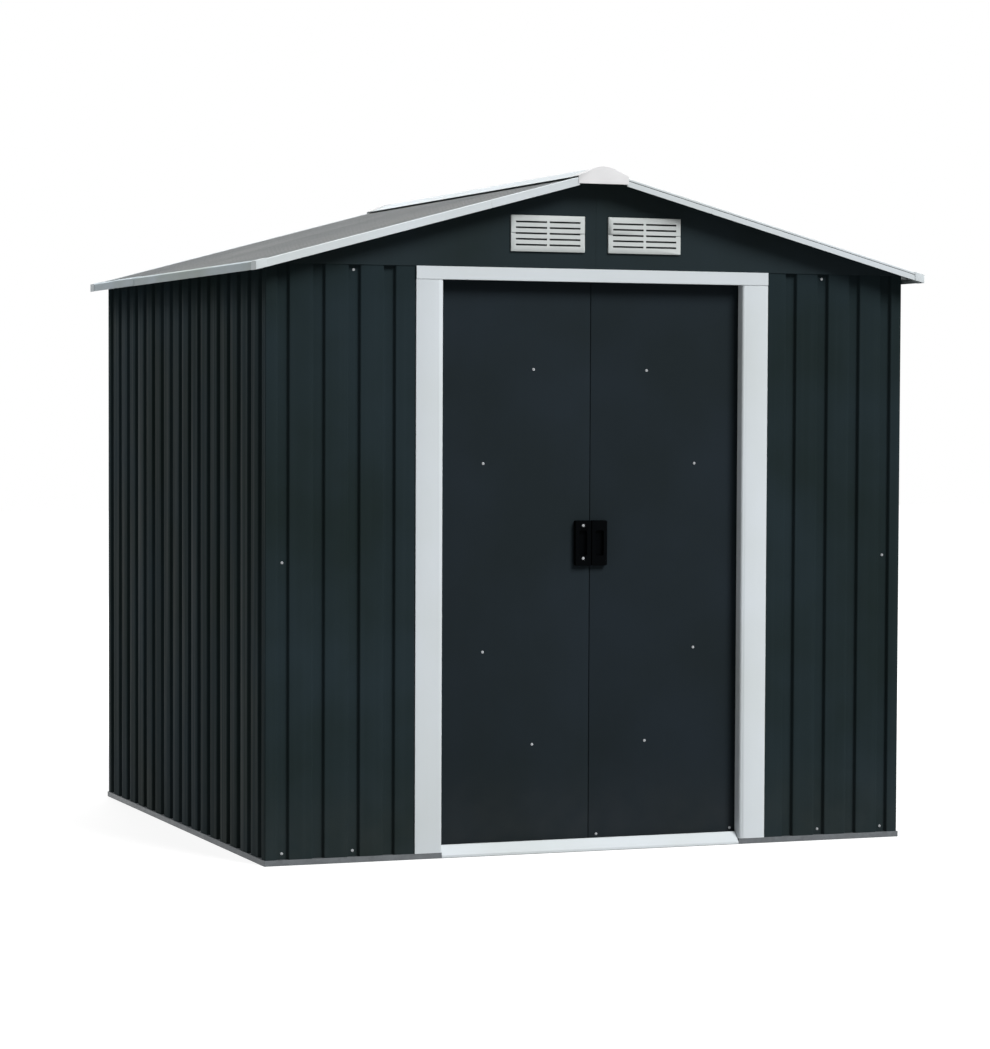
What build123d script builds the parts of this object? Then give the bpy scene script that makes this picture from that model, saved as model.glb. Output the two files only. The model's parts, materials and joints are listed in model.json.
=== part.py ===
from build123d import *
from math import cos, radians, sin, tan
import os

# Metal storage shed with a pitched roof and two sliding doors.
# Millimetres, +Z up, origin on the ground at the middle of the plan, doors on the -Y side.

# Roll-formed cladding: wide flat crests with a narrow groove at every pitch
rib_pitch = 102
across_groove_count = 19
deep_groove_count = 17
side_middle_count = 5
back_middle_count = 7
groove_mouth = 36
groove_floor = 19
groove_depth = 11
sheet_gauge = 1
corner_return = 24
corner_bend = 4

# Clearances: between seated pieces, between lapped panels, round moving pieces, and past cut faces
seat_gap = 0.3
lap_gap = 0.4
run_gap = 5
overrun = 10

# Base rails
rail_gauge = 1.5
rail_projection = 3
ledge_height = 16
upstand_height = 34
foot_reach = 50
front_foot_reach = 62
guide_rib_height = 21
guide_rib_gauge = 2
anchor_radius = 4
anchor_inset = 34
anchor_pitch = 1200

# Walls and inner rails
wall_top = 1646
mid_rail_centre = 830
mid_rail_height = 40
mid_rail_depth = 14
top_rail_height = 40
top_rail_depth = 28

# Doorway trim
opening_width = 912
jamb_width = 80
jamb_projection = 4
jamb_bend = 8
jamb_return = 27
header_height = 36
header_projection = 5.5
trim_gauge = 1.2
sheet_lap = 60
threshold_height = 34
threshold_toe = 6
threshold_top = 8

# Door leaves and their hardware
door_recess = 34
leaf_depth = 20
leaf_edge_return = 25
leaf_bottom = 30
leaf_cover = 6
leaf_overlap = 28
brace_width = 34
brace_depth = 12
handle_width = 46
handle_height = 128
handle_depth = 15
handle_centre = 874
pocket_width = 24
pocket_height = 72
pocket_depth = 10
handle_corner = 5
handle_rounding = 2
track_gauge = 1.5
track_lip = 5
wheel_radius = 9
wheel_width = 7
axle_radius = 3
bracket_width = 34
bracket_drop = 30
bracket_gauge = 3
bracket_head = 8
guide_length = 44
guide_wall = 5
guide_clearance_up = 5
hanger_inset = 70

# Gables and vents
gable_projection = 2
gable_flange = 22
vent_width = 222
vent_height = 101
vent_depth = 6
vent_inner_edge = 36
vent_bottom = 1692
vent_overlap = 10
vent_rounding = 2
vent_border = 14
vent_margin = 10.5
vent_mullion = 8
slot_height = 5
slot_rows = 5
louvre_angle = 35
notch_depth = 2

# Roof
roof_angle = 15.1
roof_groove_depth = 8
side_overhang = 44
end_overhang = 58
ridge_opening = 20
rake_face = 22
rake_flange = 30
rake_lap_from_ridge = 335
eave_face = 22
eave_flange = 26
eave_splice_length = 300
eave_splice_inset = 400
corner_cap_width = 30
corner_cap_length = 46
corner_cap_face = 24
ridge_cap_half = 74
ridge_cap_rise = 42
ridge_cap_bend = 80
ridge_end_drop = 20
ridge_end_overlap = 2
ridge_end_skirt = 45
beam_width = 40
beam_height = 44
purlin_share = 0.5

# Derived sizes
wall_width = rib_pitch * across_groove_count
wall_depth = rib_pitch * deep_groove_count
half_width = wall_width / 2
half_depth = wall_depth / 2
wall_inside = groove_depth + sheet_gauge
header_bottom = wall_top - header_height
opening_half = opening_width / 2
jamb_outer = opening_half + jamb_width
front_start = jamb_outer - sheet_lap
leaf_inner = run_gap / 2
leaf_outer = opening_half + leaf_overlap
leaf_width = leaf_outer - leaf_inner
leaf_middle = (leaf_outer + leaf_inner) / 2
leaf_top = header_bottom + leaf_cover
leaf_height = leaf_top - leaf_bottom
leaf_centre = (leaf_top + leaf_bottom) / 2
track_bottom = leaf_top + run_gap
track_reach = door_recess + leaf_depth - run_gap
wheel_centre = track_bottom + track_gauge + seat_gap + wheel_radius
guide_line = door_recess + leaf_depth / 2
slope = radians(roof_angle)
roof_seat = wall_top + sheet_gauge + seat_gap
roof_thickness = roof_groove_depth + sheet_gauge
trim_layer = roof_thickness + seat_gap + trim_gauge
cap_layer = trim_layer + seat_gap + trim_gauge
eave_half = half_width + side_overhang
end_half = half_depth + end_overhang
trim_eave = eave_half - trim_gauge - seat_gap
trim_end = end_half - trim_gauge - seat_gap
sheet_eave = trim_eave - trim_gauge - seat_gap
sheet_end = trim_end - trim_gauge - seat_gap

# Wall faces: local X runs along the wall, local Y points outwards, local Z is up
front_face = Plane(origin=(0, -half_depth, 0), x_dir=(-1, 0, 0), z_dir=(0, 0, 1))
back_face = Plane(origin=(0, half_depth, 0), x_dir=(1, 0, 0), z_dir=(0, 0, 1))
right_face = Plane(origin=(half_width, 0, 0), x_dir=(0, -1, 0), z_dir=(0, 0, 1))

# Door face: local X is world X, local Y is up, local Z points out of the doorway
door_face = Plane(origin=(0, -half_depth + door_recess, 0), x_dir=(1, 0, 0), z_dir=(0, -1, 0))
gable_face = Plane(origin=(0, -half_depth - gable_projection, 0), x_dir=(1, 0, 0), z_dir=(0, -1, 0))


def cross_section(face, along=0):
    """A plane across a wall: local X points outwards, local Y is up, local Z runs along the wall."""
    return Plane(origin=face.origin + face.x_dir * along, x_dir=face.y_dir, z_dir=face.x_dir)


def slope_section(run):
    """A plane across the right roof slope, a run down from the wall line: local X is +Y, local Y is out."""
    down = Vector(cos(slope), 0, -sin(slope))
    return Plane(origin=Vector(half_width, 0, roof_seat) + down * run, x_dir=(0, 1, 0), z_dir=down)


def slope_run(x, layer):
    """The run along the right slope at which a point of a layer is at this x."""
    return (x - half_width - layer * sin(slope)) / cos(slope)


def roof_height(x, layer):
    """The height of a roof layer, measured square to the slope from its seat, at this x."""
    return roof_seat + (half_width - x) * tan(slope) + layer / cos(slope)


def groove_lines(count):
    """Places of the grooves along a wall, evenly spaced about its middle."""
    return [rib_pitch * (index - (count - 1) / 2) for index in range(count)]


def ribbed_points(start, end, grooves, depth):
    """The outer line of a grooved sheet from start to end."""
    points = [(start, 0)]
    for line in grooves:
        if start < line < end:
            points += [
                (line - groove_mouth / 2, 0),
                (line - groove_floor / 2, -depth),
                (line + groove_floor / 2, -depth),
                (line + groove_mouth / 2, 0),
            ]
    points.append((end, 0))
    return points


def folded_sheet(points, gauge, bends=None):
    """Draws a sheet folded along these points, with its gauge to the left, or to the right if negative."""
    path = [Vector(*point) for point in points]
    sides = [(end - start).normalized().rotate(Axis.Z, 90) for start, end in zip(path, path[1:])]
    before = sides[:1] + sides
    after = sides + sides[-1:]
    inner = [p + (a + b) * (gauge / (1 + a.dot(b))) for p, a, b in zip(path, before, after)]
    outer_bends = bends or [0 for corner in path[1:-1]]
    inner_bends = []
    for bend, a, b in zip(outer_bends, sides, sides[1:]):
        turn = 1 if a.cross(b).Z > 0 else -1
        inner_bends.append(bend - turn * gauge if bend else 0)
    with BuildLine() as section:
        FilletPolyline(*path, radius=outer_bends)
        FilletPolyline(*inner, radius=inner_bends)
        Line(path[0], inner[0])
        Line(path[-1], inner[-1])
    make_face(section.edges())


def twin(piece, about):
    """The same piece on the other side of a plane."""
    with BuildPart() as other:
        mirror(piece.part, about=about)
    return other


pieces = {}

# Base rails: a foot on the ground, a toe, a ledge for the wall sheets and an upstand behind them
rail_points = [
    (-foot_reach, 0),
    (rail_projection, 0),
    (rail_projection, ledge_height),
    (-wall_inside, ledge_height),
    (-wall_inside, ledge_height + upstand_height),
]
rail_outer_x = half_width + rail_projection
rail_outer_y = half_depth + rail_projection
rail_height = ledge_height + upstand_height
mitre = foot_reach + front_foot_reach


def mitred_plan(outer_x, outer_y, sign):
    """The plan of one rail along X, with its ends cut at 45 degrees."""
    with BuildLine() as plan:
        Polyline(
            (-outer_x + seat_gap, sign * outer_y),
            (outer_x - seat_gap, sign * outer_y),
            (outer_x - seat_gap - mitre, sign * (outer_y - mitre)),
            (-outer_x + seat_gap + mitre, sign * (outer_y - mitre)),
            close=True,
        )
    make_face(plan.edges())


with BuildPart() as base_rail_back:
    with BuildSketch(cross_section(back_face)):
        folded_sheet(rail_points, rail_gauge)
    extrude(amount=rail_outer_x, both=True)
    with BuildSketch(Plane.XY):
        mitred_plan(rail_outer_x, rail_outer_y, 1)
    extrude(amount=rail_height, mode=Mode.INTERSECT)
pieces["base_rail_back"] = base_rail_back

# The front rail has a longer foot with the guide rib of the doors, no ledge in the doorway and no
# upstand past the wall sheets
front_rail_points = [(-front_foot_reach, 0)] + rail_points[1:]
with BuildPart() as base_rail_front:
    with BuildSketch(cross_section(front_face)):
        folded_sheet(front_rail_points, rail_gauge)
        with Locations((-guide_line, (rail_gauge + guide_rib_height) / 2)):
            Rectangle(guide_rib_gauge, guide_rib_height + rail_gauge)
    extrude(amount=rail_outer_x, both=True)
    with BuildSketch(Plane.XY):
        mitred_plan(rail_outer_x, rail_outer_y, -1)
    extrude(amount=rail_height, mode=Mode.INTERSECT)
    with BuildSketch(cross_section(front_face)):
        with Locations((rail_projection, rail_gauge)):
            Rectangle(rail_projection + jamb_return, rail_height, align=(Align.MAX, Align.MIN))
    extrude(amount=opening_half, both=True, mode=Mode.SUBTRACT)
    with BuildSketch(cross_section(front_face)):
        with Locations((rail_projection, ledge_height)):
            Rectangle(rail_projection + jamb_return, rail_height, align=(Align.MAX, Align.MIN))
    extrude(amount=front_start - seat_gap, both=True, mode=Mode.SUBTRACT)
pieces["base_rail_front"] = base_rail_front

with BuildPart() as base_rail_right:
    with BuildSketch(cross_section(right_face)):
        folded_sheet(rail_points, rail_gauge)
    extrude(amount=rail_outer_y, both=True)
    with BuildSketch(Plane.XY):
        with BuildLine():
            Polyline(
                (rail_outer_x, -rail_outer_y + seat_gap),
                (rail_outer_x, rail_outer_y - seat_gap),
                (rail_outer_x - mitre, rail_outer_y - seat_gap - mitre),
                (rail_outer_x - mitre, -rail_outer_y + seat_gap + mitre),
                close=True,
            )
        make_face()
    extrude(amount=rail_height, mode=Mode.INTERSECT)
    with BuildSketch(Plane.XY):
        with Locations((half_width - anchor_inset, 0)):
            with GridLocations(0, anchor_pitch, 1, 2):
                Circle(anchor_radius)
    extrude(amount=rail_gauge, mode=Mode.SUBTRACT)
pieces["base_rail_right"] = base_rail_right
pieces["base_rail_left"] = twin(base_rail_right, Plane.YZ)

# Threshold: a folded ramp between the jambs, over the foot of the front rail
with BuildPart() as door_threshold:
    with BuildSketch(cross_section(front_face)):
        folded_sheet(
            [
                (rail_projection, rail_gauge),
                (rail_projection, rail_gauge + threshold_toe),
                (-jamb_return + threshold_top, threshold_height),
                (-jamb_return, threshold_height),
                (-jamb_return, rail_gauge),
            ],
            trim_gauge,
        )
    extrude(amount=opening_half - seat_gap, both=True)
pieces["door_threshold"] = door_threshold

# Front walls: grooved sheets from behind the jamb to a fold round the corner
wall_height = wall_top - ledge_height
front_grooves = groove_lines(across_groove_count)
with BuildPart() as front_wall_left:
    with BuildSketch(front_face.offset(ledge_height)):
        sheet_line = ribbed_points(front_start, half_width, front_grooves, groove_depth)
        sheet_line.append((half_width, -corner_return))
        folded_sheet(sheet_line, -sheet_gauge, [0 for corner in sheet_line[1:-2]] + [corner_bend])
    extrude(amount=wall_height)
pieces["front_wall_left"] = front_wall_left
pieces["front_wall_right"] = twin(front_wall_left, Plane.YZ)

# Back wall: three panels, the outer two folded round the corners
back_split = rib_pitch * back_middle_count / 2
with BuildPart() as back_wall:
    with BuildSketch(back_face.offset(ledge_height)):
        middle_line = ribbed_points(-back_split, back_split, front_grooves, groove_depth)
        folded_sheet(middle_line, -sheet_gauge)
        outer_line = ribbed_points(back_split + lap_gap, half_width, front_grooves, groove_depth)
        outer_line.append((half_width, -corner_return))
        folded_sheet(outer_line, -sheet_gauge, [0 for corner in outer_line[1:-2]] + [corner_bend])
        mirror(about=Plane.YZ)
    extrude(amount=wall_height)
pieces["back_wall"] = back_wall

# Side walls: three panels between the corner folds
side_grooves = groove_lines(deep_groove_count)
side_split = rib_pitch * side_middle_count / 2
side_end = half_depth - corner_return - lap_gap
with BuildPart() as right_wall:
    with BuildSketch(right_face.offset(ledge_height)):
        for start, end in (
            (-side_end, -side_split - lap_gap),
            (-side_split, side_split),
            (side_split + lap_gap, side_end),
        ):
            folded_sheet(ribbed_points(start, end, side_grooves, groove_depth), -sheet_gauge)
    extrude(amount=wall_height)
pieces["right_wall"] = right_wall
pieces["left_wall"] = twin(right_wall, Plane.YZ)

# Door jambs: a face over the edge of the wall sheet, with a rounded return into the doorway
with BuildPart() as door_jamb_left:
    with BuildSketch(front_face.offset(ledge_height)):
        folded_sheet(
            [
                (jamb_outer, seat_gap),
                (jamb_outer, jamb_projection),
                (opening_half, jamb_projection),
                (opening_half, -jamb_return),
            ],
            trim_gauge,
            [0, jamb_bend],
        )
    extrude(amount=header_bottom - ledge_height - seat_gap)
pieces["door_jamb_left"] = door_jamb_left
pieces["door_jamb_right"] = twin(door_jamb_left, Plane.YZ)

# Door header: a channel over both jambs, with deep returns between the wall sheets
with BuildPart() as door_header:
    for reach, half_length in ((-wall_inside, front_start - seat_gap), (seat_gap, jamb_outer)):
        with BuildSketch(cross_section(front_face)):
            folded_sheet(
                [
                    (reach, header_bottom),
                    (header_projection, header_bottom),
                    (header_projection, wall_top),
                    (reach, wall_top),
                ],
                trim_gauge,
            )
        extrude(amount=half_length, both=True)
pieces["door_header"] = door_header

# Door track: a web behind the front wall and a flange with a lip that carries the rollers
track_half = half_width - corner_return - lap_gap
with BuildPart() as door_track:
    with BuildSketch(cross_section(front_face)):
        folded_sheet(
            [
                (-wall_inside, wall_top),
                (-wall_inside, track_bottom),
                (-track_reach, track_bottom),
                (-track_reach, track_bottom + track_lip),
            ],
            -track_gauge,
        )
    extrude(amount=track_half, both=True)
pieces["door_track"] = door_track


def wall_channel(centre, height, depth):
    """Draws a channel that lies with its web against the inner side of the grooves."""
    folded_sheet(
        [
            (-wall_inside - depth, centre - height / 2),
            (-wall_inside, centre - height / 2),
            (-wall_inside, centre + height / 2),
            (-wall_inside - depth, centre + height / 2),
        ],
        rail_gauge,
    )


# Inner rails along the tops and the middles of the walls
top_rail_centre = wall_top - top_rail_height / 2
top_rail_end = half_depth - wall_inside - top_rail_depth - seat_gap
with BuildPart() as top_rail_back:
    with BuildSketch(cross_section(back_face)):
        wall_channel(top_rail_centre, top_rail_height, top_rail_depth)
    extrude(amount=track_half, both=True)
pieces["top_rail_back"] = top_rail_back

with BuildPart() as top_rails_side:
    with BuildSketch(cross_section(right_face, half_depth - track_reach - run_gap)):
        wall_channel(top_rail_centre, top_rail_height, top_rail_depth)
    extrude(amount=-(half_depth - track_reach - run_gap + top_rail_end))
    mirror(about=Plane.YZ)
pieces["top_rails_side"] = top_rails_side

with BuildPart() as mid_rails_front:
    with BuildSketch(cross_section(front_face, front_start)):
        wall_channel(mid_rail_centre, mid_rail_height, mid_rail_depth)
    extrude(amount=track_half - front_start)
    mirror(about=Plane.YZ)
pieces["mid_rails_front"] = mid_rails_front

with BuildPart() as mid_rail_back:
    with BuildSketch(cross_section(back_face)):
        wall_channel(mid_rail_centre, mid_rail_height, mid_rail_depth)
    extrude(amount=track_half, both=True)
pieces["mid_rail_back"] = mid_rail_back

mid_rail_end = half_depth - wall_inside - mid_rail_depth - seat_gap
with BuildPart() as mid_rails_side:
    with BuildSketch(cross_section(right_face)):
        wall_channel(mid_rail_centre, mid_rail_height, mid_rail_depth)
    extrude(amount=mid_rail_end, both=True)
    mirror(about=Plane.YZ)
pieces["mid_rails_side"] = mid_rails_side

# Gables: two sheets that meet under the ridge, flanged over the wall tops and cut out behind the vents
vent_middle = vent_inner_edge + vent_width / 2
vent_centre = vent_bottom + vent_height / 2
slot_width = (vent_width - vent_mullion) / 2 - vent_border
slot_pitch = (vent_height - 2 * vent_margin) / slot_rows
with BuildPart() as front_gable:
    with BuildSketch(gable_face):
        with BuildLine():
            Polyline(
                (lap_gap / 2, wall_top),
                (half_width, wall_top),
                (half_width, wall_top + sheet_gauge),
                (lap_gap / 2, roof_height(lap_gap / 2, -seat_gap)),
                close=True,
            )
        make_face()
        with Locations((vent_middle, vent_centre)):
            Rectangle(vent_width - 2 * vent_overlap, vent_height - 2 * vent_overlap, mode=Mode.SUBTRACT)
    extrude(amount=-sheet_gauge)
    with BuildSketch(Plane.XY.offset(wall_top)):
        with Locations((lap_gap / 2, -half_depth - gable_projection)):
            Rectangle(half_width - lap_gap / 2, gable_flange, align=(Align.MIN, Align.MIN))
    extrude(amount=sheet_gauge)
    mirror(about=Plane.YZ)
pieces["front_gable"] = front_gable
pieces["back_gable"] = twin(front_gable, Plane.XZ)

# Vents: moulded plates with two columns of sloping slots and a notch at each end of the middle row
with BuildPart() as front_vents:
    with BuildSketch(gable_face):
        with Locations((vent_middle, vent_centre)):
            RectangleRounded(vent_width, vent_height, vent_rounding)
    extrude(amount=vent_depth)
    chamfer(front_vents.faces().sort_by(Axis.Y)[0].edges(), length=vent_rounding / 2)
    with BuildSketch(gable_face.offset(vent_depth)):
        with Locations((vent_middle, vent_centre)):
            with GridLocations(slot_width + vent_mullion, slot_pitch, 2, slot_rows):
                Rectangle(slot_width, slot_height)
    louvre_rise = vent_depth * tan(radians(louvre_angle))
    extrude(
        amount=Vector(vent_depth, louvre_rise).length,
        dir=(0, vent_depth, louvre_rise),
        mode=Mode.SUBTRACT,
    )
    with BuildSketch(gable_face.offset(vent_depth)):
        with Locations((vent_middle, vent_centre)):
            Rectangle(vent_width, slot_height)
            Rectangle(2 * slot_width + vent_mullion, slot_height, mode=Mode.SUBTRACT)
    extrude(amount=-notch_depth, mode=Mode.SUBTRACT)
    mirror(about=Plane.YZ)
pieces["front_vents"] = front_vents
pieces["back_vents"] = twin(front_vents, Plane.XZ)

# Roof: three grooved panels on each slope
roof_top_run = slope_run(ridge_opening, 0)
with BuildPart() as roof_right:
    with BuildSketch(slope_section(roof_top_run)):
        for start, end in (
            (-sheet_end, -side_split - lap_gap),
            (-side_split, side_split),
            (side_split + lap_gap, sheet_end),
        ):
            panel_line = ribbed_points(start, end, side_grooves, roof_groove_depth)
            folded_sheet([(a, b + roof_thickness) for a, b in panel_line], -sheet_gauge)
    extrude(amount=slope_run(sheet_eave, roof_thickness) - roof_top_run)
pieces["roof_right"] = roof_right
pieces["roof_left"] = twin(roof_right, Plane.YZ)

# Eave trims: two lengths meeting under a splice, folded over the edge of the roof sheets
eave_end = trim_end - rake_flange - seat_gap
splice_middle = end_half - eave_splice_inset


def eave_fold(outer, layer, face, flange):
    """Draws an eave trim: a face that hangs from a flange on the slope."""
    folded_sheet(
        [
            (outer, roof_height(outer, layer) - face),
            (outer, roof_height(outer, layer)),
            (outer - flange, roof_height(outer - flange, layer)),
        ],
        trim_gauge,
    )


with BuildPart() as eave_trim_right:
    with BuildSketch(Plane.XZ.offset(-splice_middle + lap_gap)):
        eave_fold(trim_eave, trim_layer, eave_face, eave_flange)
    extrude(amount=splice_middle - lap_gap + eave_end)
    with BuildSketch(Plane.XZ.offset(-eave_end)):
        eave_fold(trim_eave, trim_layer, eave_face, eave_flange)
    extrude(amount=eave_end - splice_middle)
    with BuildSketch(Plane.XZ.offset(-splice_middle)):
        eave_fold(eave_half, cap_layer, eave_face, eave_flange)
    extrude(amount=eave_splice_length / 2, both=True)
pieces["eave_trim_right"] = eave_trim_right
pieces["eave_trim_left"] = twin(eave_trim_right, Plane.YZ)

# Rake trims: a face on the roof's end and a flange on the slope, in two lengths with a lap
rake_points = [
    (-trim_end, trim_layer - rake_face),
    (-trim_end, trim_layer),
    (-trim_end + rake_flange, trim_layer),
]
rake_top_run = slope_run(ridge_cap_half + seat_gap, 0)
rake_lap_run = slope_run(rake_lap_from_ridge, 0)
with BuildPart() as front_rake_trims:
    with BuildSketch(slope_section(rake_top_run)):
        folded_sheet(rake_points, -trim_gauge)
    extrude(amount=rake_lap_run - rake_top_run)
    with BuildSketch(slope_section(rake_lap_run + lap_gap)):
        folded_sheet(rake_points, -trim_gauge)
    extrude(amount=slope_run(trim_eave, trim_layer) - rake_lap_run - lap_gap)
    mirror(about=Plane.YZ)
pieces["front_rake_trims"] = front_rake_trims
pieces["back_rake_trims"] = twin(front_rake_trims, Plane.XZ)

# Eave corner caps over the ends of the trims
with BuildPart() as eave_corner_caps:
    with BuildSketch(Plane.XZ.offset(end_half)):
        with BuildLine():
            Polyline(
                (eave_half, roof_height(eave_half, cap_layer)),
                (eave_half - corner_cap_width, roof_height(eave_half - corner_cap_width, cap_layer)),
                (
                    eave_half - corner_cap_width,
                    roof_height(eave_half - corner_cap_width, cap_layer) - corner_cap_face,
                ),
                (eave_half, roof_height(eave_half, cap_layer) - corner_cap_face),
                close=True,
            )
        make_face()
    extrude(amount=-corner_cap_length)
    cap_inner = eave_half - trim_gauge
    cap_far = eave_half - corner_cap_width - overrun
    with BuildSketch(Plane.XZ.offset(end_half - trim_gauge)):
        with BuildLine():
            Polyline(
                (cap_inner, roof_height(cap_inner, cap_layer - trim_gauge)),
                (cap_far, roof_height(cap_far, cap_layer - trim_gauge)),
                (cap_far, roof_height(cap_far, cap_layer) - corner_cap_face - overrun),
                (cap_inner, roof_height(cap_inner, cap_layer) - corner_cap_face - overrun),
                close=True,
            )
        make_face()
    extrude(amount=-corner_cap_length, mode=Mode.SUBTRACT)
    mirror(about=Plane.YZ)
    mirror(about=Plane.XZ)
pieces["eave_corner_caps"] = eave_corner_caps

# Ridge cap: a rounded strip over the top edges of both slopes
cap_edge = roof_height(ridge_cap_half, roof_thickness) + seat_gap
cap_points = [
    (-ridge_cap_half, cap_edge),
    (0, cap_edge + ridge_cap_rise),
    (ridge_cap_half, cap_edge),
]
with BuildPart() as ridge_cap:
    with BuildSketch(Plane.XZ):
        folded_sheet(cap_points, trim_gauge, [ridge_cap_bend])
    extrude(amount=trim_end, both=True)
pieces["ridge_cap"] = ridge_cap

# Ridge end caps: a plate over the ends of the rakes with a skirt over the ridge cap
skirt_rise = trim_gauge + seat_gap
skirt_points = [(x, z + skirt_rise) for x, z in cap_points]
end_plate_half = ridge_cap_half + ridge_end_overlap
end_plate_low = cap_edge - ridge_end_drop
end_plate_side = roof_height(end_plate_half, cap_layer)
with BuildPart() as ridge_end_caps:
    with BuildSketch(Plane.XZ.offset(end_half)):
        folded_sheet(skirt_points, trim_gauge, [ridge_cap_bend])
        with BuildLine():
            Polyline(
                (end_plate_half, end_plate_side),
                (end_plate_half, end_plate_low),
                (-end_plate_half, end_plate_low),
                (-end_plate_half, end_plate_side),
                (-ridge_cap_half, cap_edge + skirt_rise),
            )
            FilletPolyline(*skirt_points, radius=[ridge_cap_bend])
            Line((ridge_cap_half, cap_edge + skirt_rise), (end_plate_half, end_plate_side))
        make_face()
    extrude(amount=-trim_gauge)
    with BuildSketch(Plane.XZ.offset(end_half - trim_gauge)):
        folded_sheet(skirt_points, trim_gauge, [ridge_cap_bend])
    extrude(amount=-ridge_end_skirt)
    mirror(about=Plane.XZ)
pieces["ridge_end_caps"] = ridge_end_caps

# Roof frame: an inverted channel under the ridge and a purlin under each slope
beam_half = half_depth + gable_projection - sheet_gauge - seat_gap
beam_top = roof_height(beam_width / 2, -seat_gap)
with BuildPart() as ridge_beam:
    with BuildSketch(Plane.XZ):
        folded_sheet(
            [
                (-beam_width / 2, beam_top - beam_height),
                (-beam_width / 2, beam_top),
                (beam_width / 2, beam_top),
                (beam_width / 2, beam_top - beam_height),
            ],
            -rail_gauge,
        )
    extrude(amount=beam_half, both=True)
pieces["ridge_beam"] = ridge_beam

purlin_x = half_width * purlin_share
purlin_plane = Plane(
    origin=(purlin_x, 0, roof_height(purlin_x, -seat_gap)),
    x_dir=(cos(slope), 0, -sin(slope)),
    z_dir=(0, -1, 0),
)
with BuildPart() as roof_purlins:
    with BuildSketch(purlin_plane):
        folded_sheet(
            [
                (-beam_width / 2, -beam_height),
                (-beam_width / 2, 0),
                (beam_width / 2, 0),
                (beam_width / 2, -beam_height),
            ],
            -rail_gauge,
        )
    extrude(amount=beam_half, both=True)
    mirror(about=Plane.YZ)
pieces["roof_purlins"] = roof_purlins

# Right door leaf: a tray of sheet with returned edges
with BuildPart() as right_door_leaf:
    with BuildSketch(door_face):
        with Locations((leaf_middle, leaf_centre)):
            Rectangle(leaf_width, leaf_height)
    extrude(amount=-leaf_depth)
    with BuildSketch(door_face.offset(-sheet_gauge)):
        with Locations((leaf_middle, leaf_centre)):
            Rectangle(leaf_width - 2 * sheet_gauge, leaf_height - 2 * sheet_gauge)
    extrude(amount=-leaf_depth + 2 * sheet_gauge, mode=Mode.SUBTRACT)
    with BuildSketch(door_face.offset(-leaf_depth + sheet_gauge)):
        with Locations((leaf_middle, leaf_centre)):
            Rectangle(leaf_width - 2 * leaf_edge_return, leaf_height - 2 * leaf_edge_return)
    extrude(amount=-sheet_gauge, mode=Mode.SUBTRACT)
pieces["right_door_leaf"] = right_door_leaf

# Door braces: two channels from the middle of the outer edge to the corners at the meeting edge
brace_clear = sheet_gauge + seat_gap
brace_low = Vector(leaf_outer, leaf_centre)
brace_high = Vector(leaf_inner, leaf_top)
brace_line = brace_high - brace_low
brace_run = Vector(brace_line.X, 0, brace_line.Y).normalized()
brace_plane = Plane(
    origin=(leaf_outer, -half_depth + door_recess + sheet_gauge, leaf_centre),
    x_dir=(brace_run.Z, 0, -brace_run.X),
    z_dir=brace_run,
)
with BuildPart() as right_door_braces:
    with BuildSketch(brace_plane):
        folded_sheet(
            [
                (-brace_width / 2, 0),
                (-brace_width / 2, brace_depth),
                (brace_width / 2, brace_depth),
                (brace_width / 2, 0),
            ],
            -rail_gauge,
        )
    extrude(amount=brace_line.length)
    with BuildSketch(door_face.offset(-sheet_gauge)):
        with Locations((leaf_middle, leaf_centre + brace_clear)):
            Rectangle(
                leaf_width - 2 * brace_clear,
                leaf_height / 2 - 2 * brace_clear,
                align=(Align.CENTER, Align.MIN),
            )
    extrude(amount=-leaf_depth, mode=Mode.INTERSECT)
    mirror(about=Plane.XY.offset(leaf_centre))
pieces["right_door_braces"] = right_door_braces

# Door handle: a moulded pull with a finger pocket
handle_middle = leaf_inner + handle_width / 2
with BuildPart() as right_door_handle:
    with BuildSketch(door_face):
        with Locations((handle_middle, handle_centre)):
            RectangleRounded(handle_width, handle_height, handle_corner)
    extrude(amount=handle_depth)
    fillet(right_door_handle.faces().sort_by(Axis.Y)[0].edges(), radius=handle_rounding)
    with BuildSketch(door_face.offset(handle_depth)):
        with Locations((handle_middle, handle_centre)):
            RectangleRounded(pocket_width, pocket_height, handle_corner)
    extrude(amount=-pocket_depth, mode=Mode.SUBTRACT)
pieces["right_door_handle"] = right_door_handle

# Door rollers: a bracket on the back of the leaf, an axle and a wheel in the track
hanger_places = (leaf_inner + hanger_inset, leaf_outer - hanger_inset)
bracket_face = Plane(
    origin=(0, -half_depth + door_recess + leaf_depth, 0), x_dir=(1, 0, 0), z_dir=(0, -1, 0)
)
bracket_low = leaf_top - bracket_drop
bracket_high = wheel_centre + bracket_head
wheel_inner = track_reach - track_gauge - run_gap
with BuildPart() as right_door_rollers:
    with BuildSketch(bracket_face):
        for place in hanger_places:
            with Locations((place, bracket_low)):
                Rectangle(bracket_width, bracket_high - bracket_low, align=(Align.CENTER, Align.MIN))
    extrude(amount=-bracket_gauge)
    with BuildSketch(bracket_face):
        with Locations(*[(place, wheel_centre) for place in hanger_places]):
            Circle(axle_radius)
    extrude(amount=door_recess + leaf_depth - wheel_inner + wheel_width)
    with BuildSketch(bracket_face.offset(door_recess + leaf_depth - wheel_inner)):
        with Locations(*[(place, wheel_centre) for place in hanger_places]):
            Circle(wheel_radius)
    extrude(amount=wheel_width)
pieces["right_door_rollers"] = right_door_rollers

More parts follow.
